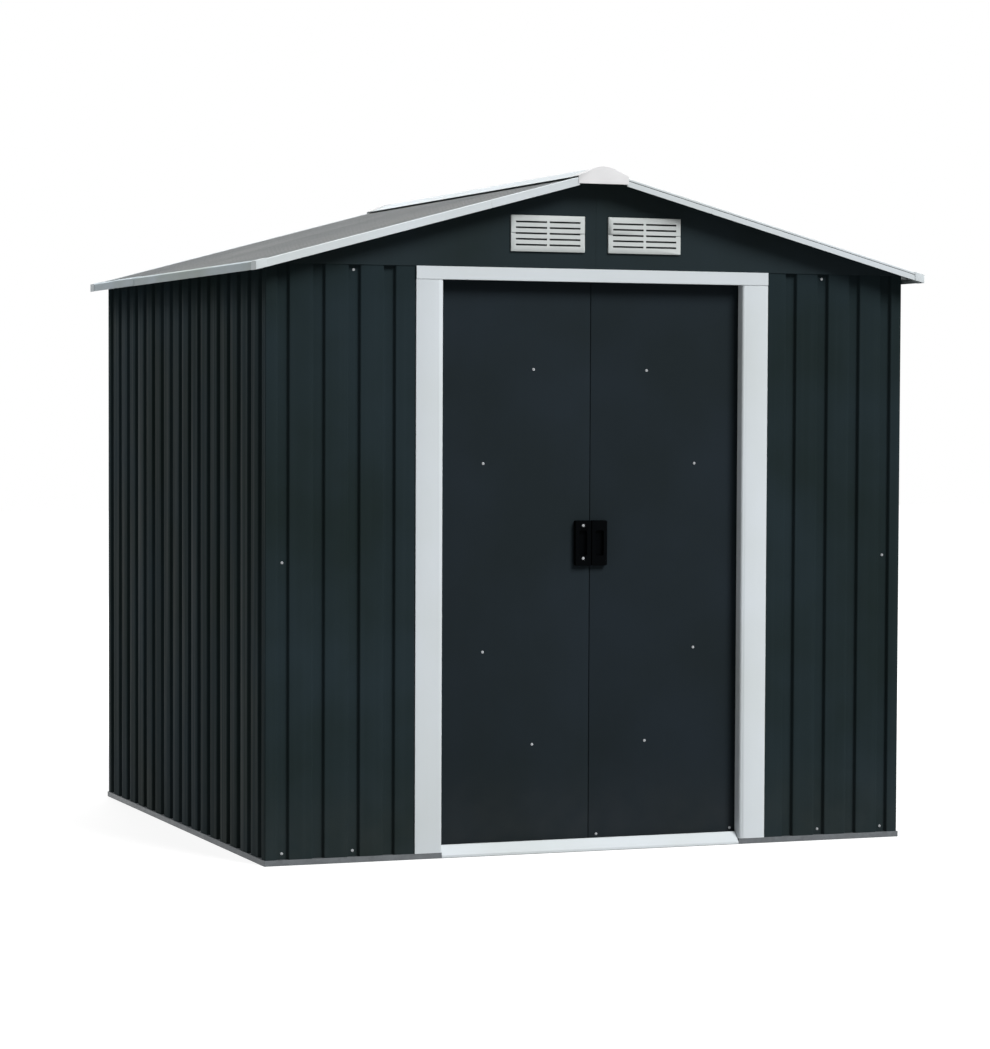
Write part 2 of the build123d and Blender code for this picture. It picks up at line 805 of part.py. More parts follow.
# Door guides: blocks under the leaf that straddle the guide rib
rib_top = rail_gauge + guide_rib_height
guide_slot = guide_rib_gauge + 2 * seat_gap
guide_width = guide_slot + 2 * guide_wall
with BuildPart() as right_door_guides:
    for place in hanger_places:
        with BuildSketch(cross_section(front_face, -place)):
            with Locations((-guide_line, leaf_bottom)):
                Rectangle(
                    guide_width, leaf_bottom - rail_gauge - run_gap, align=(Align.CENTER, Align.MAX)
                )
            with Locations((-guide_line, rib_top + guide_clearance_up)):
                Rectangle(guide_slot, leaf_bottom, align=(Align.CENTER, Align.MAX), mode=Mode.SUBTRACT)
        extrude(amount=guide_length / 2, both=True)
pieces["right_door_guides"] = right_door_guides

for kind in ("leaf", "braces", "handle", "rollers", "guides"):
    pieces["left_door_" + kind] = twin(pieces["right_door_" + kind], Plane.YZ)

os.makedirs("parts", exist_ok=True)
for name, piece in pieces.items():
    piece.part.label = name
    export_step(piece.part, f"parts/{name}.step")
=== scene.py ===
"""Metal storage shed: grooved cladding, trim, doors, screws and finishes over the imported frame."""

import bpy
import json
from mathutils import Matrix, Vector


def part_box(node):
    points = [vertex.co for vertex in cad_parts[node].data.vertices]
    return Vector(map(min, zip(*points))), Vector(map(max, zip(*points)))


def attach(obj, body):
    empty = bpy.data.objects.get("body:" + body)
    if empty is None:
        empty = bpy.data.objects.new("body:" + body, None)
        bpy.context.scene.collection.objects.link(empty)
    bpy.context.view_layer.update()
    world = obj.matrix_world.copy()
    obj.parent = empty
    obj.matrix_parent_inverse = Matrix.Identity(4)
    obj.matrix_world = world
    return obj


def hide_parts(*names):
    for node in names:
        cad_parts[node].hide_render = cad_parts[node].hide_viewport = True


bl_info = {
    "name": "Metal Storage Shed",
    "version": (1, 0, 0),
    "blender": (4, 5, 0),
    "location": "View3D > Sidebar > Shed",
    "description": "Dresses a sheet-steel shed with rolled cladding, painted trim, screws and a studio",
    "category": "Object",
}

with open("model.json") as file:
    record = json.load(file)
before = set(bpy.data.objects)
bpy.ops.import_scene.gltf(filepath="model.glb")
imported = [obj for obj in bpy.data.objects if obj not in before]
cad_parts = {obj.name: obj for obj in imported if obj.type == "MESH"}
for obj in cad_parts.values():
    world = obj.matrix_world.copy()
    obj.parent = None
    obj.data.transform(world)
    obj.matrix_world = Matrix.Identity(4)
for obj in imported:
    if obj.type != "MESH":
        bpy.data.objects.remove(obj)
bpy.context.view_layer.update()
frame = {"nodes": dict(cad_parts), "record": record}

import json
from math import ceil, copysign, cos, floor, pi, radians, sin, tan

import bmesh
import bpy
from bpy.props import FloatProperty, FloatVectorProperty, IntProperty, PointerProperty
from bpy.types import Operator, Panel, PropertyGroup
from mathutils import Matrix, Vector

MM = 0.001

# Corners closer than this are one corner, and faces that differ less than this are one face
MERGE = 0.01 * MM
FLAT_ANGLE = radians(0.5)

# Edges that turn by more than this stay sharp, on sheets and on screws
SHARP_FOLD = radians(35)
SHARP_SCREW = radians(40)

# A fold line turns by at least this, and its faces are at least this many gauges wide
FOLD_ANGLE = radians(25)
FOLD_GAUGES = 2.5
FOLD_SEGMENTS = 3

# Faces of a vent whose normal points outwards by at least this share are its blades and rim
OUTWARD_SHARE = 0.9

# Seed of the first group of screws
FIRST_SEED = 11

# Widths of the patterns in the finishes, in millimetres
CLOUDS = 400
COIL_STREAKS = 16
DUST_PATCHES = 60
ORANGE_PEEL = 5
SHEET_WAVES = 260
SPANGLES = 12
ZINC_WEATHER = 80
ZINC_GRAIN = 3
RESIN_FLOW = 70
PLATING_WEAR = 2

# Depths of the two finest of them, in millimetres
PEEL_DEPTH = 0.05
ZINC_GRAIN_DEPTH = 0.2

# Dust: from where to where it fades above the ground, in millimetres, and how much of it there is at most
DUST_FOOT = 10
DUST_TOP = 300
DUST_SHARE = 0.04

# Painted shade of the eaves on the walls' gleam: from where to where it fades below the top of the walls,
# in millimetres
EAVE_SHADE_TOP = 25
EAVE_SHADE_FOOT = 180

# Which finish each node of the frame has
slot_of = {part["node"]: part["material_slot"] for part in frame["record"]["subparts"]}

# Places of the walls, doors and roof, read from the frame
wall_low, wall_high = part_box("back_wall")
half_width = wall_high.x
half_depth = wall_high.y
wall_bottom = wall_low.z
wall_top = wall_high.z
corner_return = wall_high.y - wall_low.y
front_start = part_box("front_wall_right")[0].x
side_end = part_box("right_wall")[1].y
roof_low, roof_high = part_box("roof_right")
ridge_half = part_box("ridge_cap")[1].x
rail_low, rail_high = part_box("mid_rail_back")
leaf_low, leaf_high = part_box("right_door_leaf")
handle_low, handle_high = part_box("left_door_handle")


def linear(hex_colour):
    """Turns an sRGB hex colour into linear red, green and blue."""
    channels = [int(hex_colour[place:place + 2], 16) / 255 for place in (1, 3, 5)]
    return tuple(c / 12.92 if c <= 0.04045 else ((c + 0.055) / 1.055) ** 2.4 for c in channels)


def length(label, description, millimetres):
    """A length that is shown in the scene's units."""
    return FloatProperty(name=label, description=description, default=millimetres * MM, unit="LENGTH")


def angle(label, description, degrees):
    """An angle that is written in degrees."""
    return FloatProperty(name=label, description=description, default=radians(degrees), subtype="ANGLE")


def spot(label, description, metres):
    """A place in the studio."""
    return FloatVectorProperty(
        name=label, description=description, default=metres, size=3, subtype="TRANSLATION", unit="LENGTH"
    )


def power(label, description, watts):
    """The power of a lamp."""
    return FloatProperty(name=label, description=description, default=watts, unit="POWER")


def strength(label, description, share):
    """A strength without a unit."""
    return FloatProperty(name=label, description=description, default=share)


def colour(label, description, hex_colour):
    """A colour that is written as sRGB hex and kept as linear."""
    return FloatVectorProperty(
        name=label, description=description, default=linear(hex_colour), size=3, min=0, max=1,
        subtype="COLOR",
    )


class ShedSizes(PropertyGroup):
    """Sizes of the rolled sheets, folds and screws."""

    rib_pitch: length("Rib pitch", "Distance from groove to groove", 102)
    groove_mouth: length("Groove mouth", "Width of a groove at the face of the sheet", 36)
    groove_floor: length("Groove floor", "Width of the flat floor of a groove", 27)
    wall_groove: length("Wall groove", "Depth of the grooves in the walls", 11)
    roof_groove: length("Roof groove", "Depth of the grooves in the roof", 8)
    rolled_bend: length("Rolled bend", "Radius of the bends along a groove", 4)
    corner_bend: length("Corner bend", "Radius of the fold round a corner of the walls", 4)
    sheet_gauge: length("Sheet gauge", "Thickness of the cladding", 1)
    lap_gap: length("Lap gap", "Gap between neighbouring panels", 0.4)
    lap_width: length("Lap width", "Width of the lap behind a seam", 24)
    side_middle: IntProperty(name="Side middle", description="Grooves in a middle side panel", default=5)
    back_middle: IntProperty(name="Back middle", description="Grooves in the middle back panel", default=7)
    trim_gauge: length("Trim gauge", "Thickness of the trim", 1.2)
    trim_fold: length("Trim fold", "Outer radius of the folds of the trim", 1.8)
    rail_gauge: length("Rail gauge", "Thickness of the rails", 1.5)
    rail_fold: length("Rail fold", "Outer radius of the folds of the rails", 2.5)
    leaf_fold: length("Leaf fold", "Outer radius of the folds round a door leaf", 0.7)
    edge_reach: length("Edge reach", "How far the doors' meeting edges are moved together, each", 1.5)
    edge_zone: length("Edge zone", "Width of what moves at a meeting edge, its folds and roundings", 6)
    roof_angle: angle("Roof angle", "Slope of the roof", 15.1)
    hem_drop: length("Hem drop", "Distance of the rakes' hem line from their top edge", 7)
    hem_half: length("Hem half", "Half the width of the rakes' hem line", 1.4)
    hem_depth: length("Hem depth", "Depth of the rakes' hem line", 1)
    vent_rim: length("Vent rim", "Width of the rim round the slots of a vent", 3)
    ridge_gap: length("Ridge gap", "Gap between the roof and the free edges of the ridge cap", 4)
    washer_radius: length("Washer radius", "Radius of the washer under a screw", 3.9)
    head_radius: length("Head radius", "Radius of the head of a screw", 3)
    head_height: length("Head height", "Height of a screw's head above the sheet", 2.6)
    low_row: length("Low row", "Height of the lowest screws above the foot of the walls", 16)
    top_row: length("Top row", "Depth of the highest screws below the top of the walls", 14)
    eave_row: length("Eave row", "Distance of the lowest roof screws from the wall's face", 20)
    ridge_row: length("Ridge row", "Distance of the highest roof screws from the ridge", 105)
    brace_rise: length("Brace rise", "Height of the door screws' middle above the leaf's middle", 12)
    brace_shift: length("Brace shift", "Distance of the inner door screws from thirds, outwards", 10)
    guide_row: length("Guide row", "Height of the guides' screws above the foot of the leaf", 14)
    guide_inner: length("Guide inner", "Distance of a guide's screw from the meeting edge", 22)
    guide_outer: length("Guide outer", "Distance of a guide's screw from the outer edge", 41)
    pull_top: length("Pull top", "Depth of the pull's upper screw below its top", 14)
    pull_foot: length("Pull foot", "Height of the pull's lower screw above its foot", 21)


class ShedColours(PropertyGroup):
    """Colours of the finishes."""

    anthracite: colour("Anthracite", "Paint of the walls", "#222a2c")
    # Painted light: the wall paint lightened for the more light that falls on the gables
    gable: colour("Gable", "Paint of the gables", "#262d2f")
    roof: colour("Roof", "Paint of the roof", "#2b3031")
    door: colour("Door", "Paint of the door leaves", "#21272b")
    white: colour("White", "Paint of the trim", "#c8cdd0")
    # Painted shade as well as weathering: the trims' white paint darkened for the shade on the eaves' faces
    eave: colour("Eave", "Weathered paint of the eave trims", "#b0b5b7")
    zinc: colour("Zinc", "Galvanised rails", "#65696c")
    vent: colour("Vent", "Moulded vents", "#bec3c2")
    # Painted shade: the dark colour of the vents' slot walls and of the rakes' hem line, where shade falls
    slot: colour("Slot", "Grime in the slots of the vents", "#2b2e2e")
    cap: colour("Cap", "Moulded end caps of the ridge", "#d5d5d6")
    handle: colour("Handle", "Moulded door pulls", "#030405")
    screw: colour("Screw", "Plated screws", "#b6b9bc")
    nylon: colour("Nylon", "Rollers and guides", "#c9c6bb")
    primer: colour("Primer", "Inner side of the painted sheets", "#8b8f8f")
    dust: colour("Dust", "Dust on the lower walls", "#8a857b")
    floor: colour("Floor", "Studio floor", "#a4a4a4")


class ShedStage(PropertyGroup):
    """Camera and light."""

    camera_place: spot("Camera place", "Where the camera stands", (-3.549, -9.387, 1.2436))
    camera_yaw: angle("Camera yaw", "Turn to the left of the shed's depth", -21.1421)
    camera_pitch: angle("Camera pitch", "Tilt above the horizon", -2.458)
    camera_roll: angle("Camera roll", "Turn about the line of sight", 0.2406)
    lens: FloatProperty(name="Lens", description="Focal length", default=112.1, unit="CAMERA")
    shift: FloatVectorProperty(
        name="Shift", description="Shift of the picture over the lens", default=(-0.0145, 0.0265), size=2
    )
    sky: strength("Sky", "Strength of the soft light overhead", 0.4)
    horizon: strength("Horizon", "Strength of the soft light at eye level", 0.05)
    key: strength("Key", "Strength of the main light", 3.7)
    key_height: angle("Key height", "Angle of the main light above the floor", 42)
    key_turn: angle("Key turn", "Turn of the main light to the right of the doors", 30)
    key_spread: angle("Key spread", "Angle across the main light, which softens its shadows", 26)
    lamp_aim: spot("Lamp aim", "Where the lamps on the left and behind point", (0, 0, 0.9))
    fill: power("Fill", "Power of the lamp on the left in watts", 800)
    fill_place: spot("Fill place", "Where the lamp on the left hangs", (-7.0, 3.0, 13.0))
    fill_width: length("Fill width", "Width of the lamp on the left", 4000)
    back: power("Back", "Power of the lamp behind the shed in watts", 560)
    back_place: spot("Back place", "Where the lamp behind the shed hangs", (2.0, 10.0, 5.5))
    back_width: length("Back width", "Width of the lamp behind the shed", 5000)
    floor_reach: length("Floor reach", "Half the width of the floor", 30000)
    floor_glow: strength("Floor glow", "How far the floor is lifted to white", 0.75)


def add_node(tree, kind, links=None, **settings):
    """Adds a node with its settings, and fills its inputs, by name or number, from nodes or values.

    A mix has its factor at 0, its numbers at 2 and 3 and its colours at 6 and 7. A map range has its value
    at 0, the range that it comes from at 1 and 2, and the one that it goes to at 3 and 4.
    """
    node = tree.nodes.new(kind)
    for name, value in settings.items():
        setattr(node, name, value)
    for key, value in (links or {}).items():
        if isinstance(value, bpy.types.Node):
            value = value.outputs[0]
        if isinstance(value, bpy.types.NodeSocket):
            tree.links.new(value, node.inputs[key])
        else:
            node.inputs[key].default_value = value
    return node


def opaque(rgb):
    """A colour with full alpha."""
    return (*rgb, 1.0)


def shade(rgb, share, cool=0.0):
    """A darker or lighter tone of a colour, turned to blue or, where cool is negative, to green."""
    red, green, blue = (channel * share for channel in rgb)
    return opaque([min(1.0, channel) for channel in (red * (1 - abs(cool)), green, blue * (1 + cool))])


def blank_material(name):
    """A new material with an empty node tree; returns both."""
    material = bpy.data.materials.new(name)
    material.use_nodes = True
    material.node_tree.nodes.clear()
    return material, material.node_tree


def per_metre(millimetres):
    """The scale of a pattern whose features have this width."""
    return 1 / (millimetres * MM)


def painted_steel(
    name, tint, roughness, sheen, drift, wave_depth, streak=COIL_STREAKS, coil=(1.0, 1.0, 0.012), gleam=0.0
):
    """Polyester paint baked on thin rolled steel.

    A satin film: it drifts between greener and bluer, has a fine orange peel, and shows the slow waves of
    a thin sheet. Where it has a gleam, streaks along the coil shine more than the rest; just below the
    eaves the gleam fades out, a painted shade of the eaves. Dust lies thinly on it near the ground.
    """
    tints = bpy.context.scene.shed_colours
    paint = getattr(tints, tint)
    material, tree = blank_material(name)
    place = add_node(tree, "ShaderNodeTexCoord").outputs["Object"]

    # Tone: wide clouds and finer streaks along the coil
    clouds = add_node(
        tree, "ShaderNodeTexNoise", {"Vector": place, "Scale": per_metre(CLOUDS), "Detail": 3.0}
    )
    stretched = add_node(tree, "ShaderNodeMapping", {"Vector": place, "Scale": coil})
    streaks = add_node(
        tree, "ShaderNodeTexNoise", {"Vector": stretched, "Scale": per_metre(streak), "Detail": 2.0}
    )
    blend = add_node(tree, "ShaderNodeMix", {0: 0.08, 2: clouds, 3: streaks}, data_type="FLOAT")
    spread = add_node(tree, "ShaderNodeMapRange", {0: blend, 1: 0.36, 2: 0.64, 3: 0.0, 4: 1.0})
    tone = add_node(
        tree, "ShaderNodeMix",
        {0: spread, 6: shade(paint, 1 - drift, -drift / 2), 7: shade(paint, 1 + drift, drift / 2)},
        data_type="RGBA",
    )

    # Dust near the ground, broken into patches
    height = add_node(tree, "ShaderNodeSeparateXYZ", {0: place}).outputs["Z"]
    low = add_node(
        tree, "ShaderNodeMapRange",
        {0: height, 1: DUST_FOOT * MM, 2: DUST_TOP * MM, 3: DUST_SHARE, 4: 0.0},
        interpolation_type="SMOOTHSTEP",
    )
    patches = add_node(
        tree, "ShaderNodeTexNoise", {"Vector": place, "Scale": per_metre(DUST_PATCHES), "Detail": 4.0}
    )
    settled = add_node(tree, "ShaderNodeMath", {0: low, 1: patches}, operation="MULTIPLY")
    surface = add_node(
        tree, "ShaderNodeMix", {0: settled, 6: tone.outputs[2], 7: opaque(tints.dust)}, data_type="RGBA"
    )

    # Gleam, with painted shade: none just below the eaves, where their shadow falls
    if gleam:
        shine = add_node(tree, "ShaderNodeMapRange", {0: streaks, 1: 0.45, 2: 0.7, 3: sheen, 4: gleam})
        outside_eave_shade = add_node(
            tree, "ShaderNodeMapRange",
            {0: height, 1: wall_top - EAVE_SHADE_FOOT * MM, 2: wall_top - EAVE_SHADE_TOP * MM, 3: 1.0, 4: 0.0},
            interpolation_type="SMOOTHSTEP",
        )
        sheen = add_node(tree, "ShaderNodeMath", {0: shine, 1: outside_eave_shade}, operation="MULTIPLY")

    # Orange peel is about 1 mm wide in life; it is drawn coarser here so that it shows
    peel = add_node(
        tree, "ShaderNodeTexNoise", {"Vector": place, "Scale": per_metre(ORANGE_PEEL), "Detail": 2.0}
    )
    waves = add_node(
        tree, "ShaderNodeTexNoise", {"Vector": place, "Scale": per_metre(SHEET_WAVES), "Detail": 1.0}
    )
    fine = add_node(tree, "ShaderNodeBump", {"Height": peel, "Strength": 0.5, "Distance": PEEL_DEPTH * MM})
    slow = add_node(
        tree, "ShaderNodeBump",
        {"Height": waves, "Strength": 1.0, "Distance": wave_depth * MM, "Normal": fine},
    )
    gloss = add_node(
        tree, "ShaderNodeMapRange", {0: clouds, 1: 0.3, 2: 0.7, 3: roughness - 0.05, 4: roughness + 0.05}
    )
    shader = add_node(
        tree,
        "ShaderNodeBsdfPrincipled",
        {
            "Base Color": surface.outputs[2],
            "Roughness": gloss,
            "Specular IOR Level": sheen,
            "Normal": slow,
        },
    )
    add_node(tree, "ShaderNodeOutputMaterial", {"Surface": shader})
    return material


def galvanised_steel(name, tint):
    """Hot-dip galvanised steel: dull grey metal in crystal spangles that differ in tone and gloss."""
    zinc = getattr(bpy.context.scene.shed_colours, tint)
    material, tree = blank_material(name)
    place = add_node(tree, "ShaderNodeTexCoord").outputs["Object"]

    # Spangles over wider white-grey weathering
    spangle = add_node(tree, "ShaderNodeTexVoronoi", {"Vector": place, "Scale": per_metre(SPANGLES)})
    cell = add_node(tree, "ShaderNodeSeparateColor", {0: spangle.outputs["Color"]})
    weather = add_node(
        tree, "ShaderNodeTexNoise", {"Vector": place, "Scale": per_metre(ZINC_WEATHER), "Detail": 4.0}
    )
    blend = add_node(tree, "ShaderNodeMix", {0: 0.5, 2: cell, 3: weather}, data_type="FLOAT")
    tone = add_node(
        tree, "ShaderNodeMix", {0: blend, 6: shade(zinc, 0.72), 7: shade(zinc, 1.25)}, data_type="RGBA"
    )
    gloss = add_node(tree, "ShaderNodeMapRange", {0: cell, 1: 0.0, 2: 1.0, 3: 0.42, 4: 0.6})

    # The grain of the dip is finer than 1 mm in life; it is drawn coarser here so that it shows
    grain = add_node(
        tree, "ShaderNodeTexNoise", {"Vector": place, "Scale": per_metre(ZINC_GRAIN), "Detail": 2.0}
    )
    bump = add_node(
        tree, "ShaderNodeBump", {"Height": grain, "Strength": 0.3, "Distance": ZINC_GRAIN_DEPTH * MM}
    )
    shader = add_node(
        tree,
        "ShaderNodeBsdfPrincipled",
        {"Base Color": tone.outputs[2], "Metallic": 0.4, "Roughness": gloss, "Normal": bump},
    )
    add_node(tree, "ShaderNodeOutputMaterial", {"Surface": shader})
    return material


def moulded_plastic(name, tint, roughness, specular, grain_width=2, grain_depth=0.05):
    """Injection-moulded plastic: an even colour with the fine spark-eroded grain of the mould."""
    resin = getattr(bpy.context.scene.shed_colours, tint)
    material, tree = blank_material(name)
    place = add_node(tree, "ShaderNodeTexCoord").outputs["Object"]
    flow = add_node(
        tree, "ShaderNodeTexNoise", {"Vector": place, "Scale": per_metre(RESIN_FLOW), "Detail": 3.0}
    )
    tone = add_node(
        tree, "ShaderNodeMix", {0: flow, 6: shade(resin, 0.92), 7: shade(resin, 1.08)}, data_type="RGBA"
    )

    # Such grain is about 0.1 mm wide in life; it is drawn coarser here so that it shows
    grain = add_node(
        tree, "ShaderNodeTexNoise", {"Vector": place, "Scale": per_metre(grain_width), "Detail": 2.0}
    )
    bump = add_node(
        tree, "ShaderNodeBump", {"Height": grain, "Strength": 0.5, "Distance": grain_depth * MM}
    )
    gloss = add_node(
        tree, "ShaderNodeMapRange", {0: grain, 1: 0.3, 2: 0.7, 3: roughness - 0.06, 4: roughness + 0.06}
    )
    shader = add_node(
        tree,
        "ShaderNodeBsdfPrincipled",
        {
            "Base Color": tone.outputs[2],
            "Roughness": gloss,
            "Specular IOR Level": specular,
            "Normal": bump,
        },
    )
    add_node(tree, "ShaderNodeOutputMaterial", {"Surface": shader})
    return material


def plated_steel(name, tint):
    """Zinc-plated steel: bright metal, slightly uneven where handling and weather have dulled it."""
    metal = getattr(bpy.context.scene.shed_colours, tint)
    material, tree = blank_material(name)
    place = add_node(tree, "ShaderNodeTexCoord").outputs["Object"]
    wear = add_node(
        tree, "ShaderNodeTexNoise", {"Vector": place, "Scale": per_metre(PLATING_WEAR), "Detail": 3.0}
    )
    tone = add_node(
        tree, "ShaderNodeMix", {0: wear, 6: shade(metal, 0.8), 7: shade(metal, 1.15)}, data_type="RGBA"
    )
    gloss = add_node(tree, "ShaderNodeMapRange", {0: wear, 1: 0.3, 2: 0.7, 3: 0.28, 4: 0.45})
    shader = add_node(
        tree, "ShaderNodeBsdfPrincipled",
        {"Base Color": tone.outputs[2], "Metallic": 0.6, "Roughness": gloss},
    )
    add_node(tree, "ShaderNodeOutputMaterial", {"Surface": shader})
    return material


# How each slot is finished: the maker, the material's name and its settings
FINISHES = {
    "anthracite_sheet": (
        painted_steel, "polyester_paint_anthracite",
        {
            "tint": "anthracite", "roughness": 0.6, "sheen": 0.006, "gleam": 0.027, "drift": 0.14,
            "wave_depth": 1.2,
        },
    ),
    # Gables: the wall paint lightened, which paints the light that falls on them
    "gable_sheet": (
        painted_steel, "polyester_paint_gable",
        {"tint": "gable", "roughness": 0.6, "sheen": 0.007, "drift": 0.12, "wave_depth": 1.2},
    ),
    "roof_sheet": (
        painted_steel, "polyester_paint_roof",
        {
            "tint": "roof", "roughness": 0.38, "sheen": 0.65, "drift": 0.1, "wave_depth": 1.2,
            "streak": 110, "coil": (0.1, 1.0, 0.1),
        },
    ),
    "door_sheet": (
        painted_steel, "polyester_paint_door",
        {"tint": "door", "roughness": 0.65, "sheen": 0.018, "drift": 0.08, "wave_depth": 1.6},
    ),
    "white_trim": (
        painted_steel, "polyester_paint_white",
        {"tint": "white", "roughness": 0.5, "sheen": 0.06, "drift": 0.03, "wave_depth": 0.5},
    ),
    # Eave trims: the white paint darkened as painted shade, with weathered streaks along them
    "eave_trim": (
        painted_steel, "weathered_polyester_paint_white",
        {
            "tint": "eave", "roughness": 0.55, "sheen": 0.04, "drift": 0.12, "wave_depth": 1.0,
            "streak": 60, "coil": (1.0, 0.15, 1.0),
        },
    ),
    "primer": (
        painted_steel, "grey_primer_back_coat",
        {"tint": "primer", "roughness": 0.6, "sheen": 0.3, "drift": 0.06, "wave_depth": 1.2},
    ),
    "galvanised_steel": (galvanised_steel, "hot_dip_galvanised_steel", {"tint": "zinc"}),
    "white_vent_plastic": (
        moulded_plastic, "moulded_white_abs",
        {"tint": "vent", "roughness": 0.5, "specular": 0.4},
    ),
    # Painted shade in recesses: the walls of the vents' slots and the rakes' hem line
    "painted_recess_shade": (
        moulded_plastic, "grimy_white_abs",
        {"tint": "slot", "roughness": 0.8, "specular": 0.1},
    ),
    "cap_plastic": (
        moulded_plastic, "moulded_white_polypropylene",
        {"tint": "cap", "roughness": 0.5, "specular": 0.4},
    ),
    "black_handle_plastic": (
        moulded_plastic, "moulded_black_polypropylene",
        {"tint": "handle", "roughness": 0.6, "specular": 0.02, "grain_width": 1.5, "grain_depth": 0.1},
    ),
    "nylon": (moulded_plastic, "moulded_nylon", {"tint": "nylon", "roughness": 0.4, "specular": 0.5}),
    "screw": (plated_steel, "zinc_plated_steel", {"tint": "screw"}),
}


def finish(slot):
    """The material of a slot, made when it is first asked for."""
    make, name, settings = FINISHES[slot]
    return bpy.data.materials.get(name) or make(name, **settings)


def new_tree(name, sockets):
    """A Geometry Nodes tree with these named inputs; returns it with its input node."""
    tree = bpy.data.node_groups.new(name, "GeometryNodeTree")
    tree.interface.new_socket("Geometry", in_out="OUTPUT", socket_type="NodeSocketGeometry")
    for label, kind in sockets.items():
        tree.interface.new_socket(label, in_out="INPUT", socket_type="NodeSocket" + kind)
    return tree, add_node(tree, "NodeGroupInput")


def grow(tree, base, values):
    """Runs a tree on a base mesh with these inputs, and gives the result as a plain mesh."""
    holder = bpy.data.objects.new(tree.name, base)
    bpy.context.scene.collection.objects.link(holder)
    modifier = holder.modifiers.new(tree.name, "NODES")
    modifier.node_group = tree
    for item in tree.interface.items_tree:
        if item.in_out == "INPUT" and item.name in values:
            modifier[item.identifier] = values[item.name]
    evaluated = holder.evaluated_get(bpy.context.evaluated_depsgraph_get())
    mesh = bpy.data.meshes.new_from_object(evaluated)
    holder.modifiers.remove(modifier)
    bpy.data.objects.remove(holder)
    return mesh


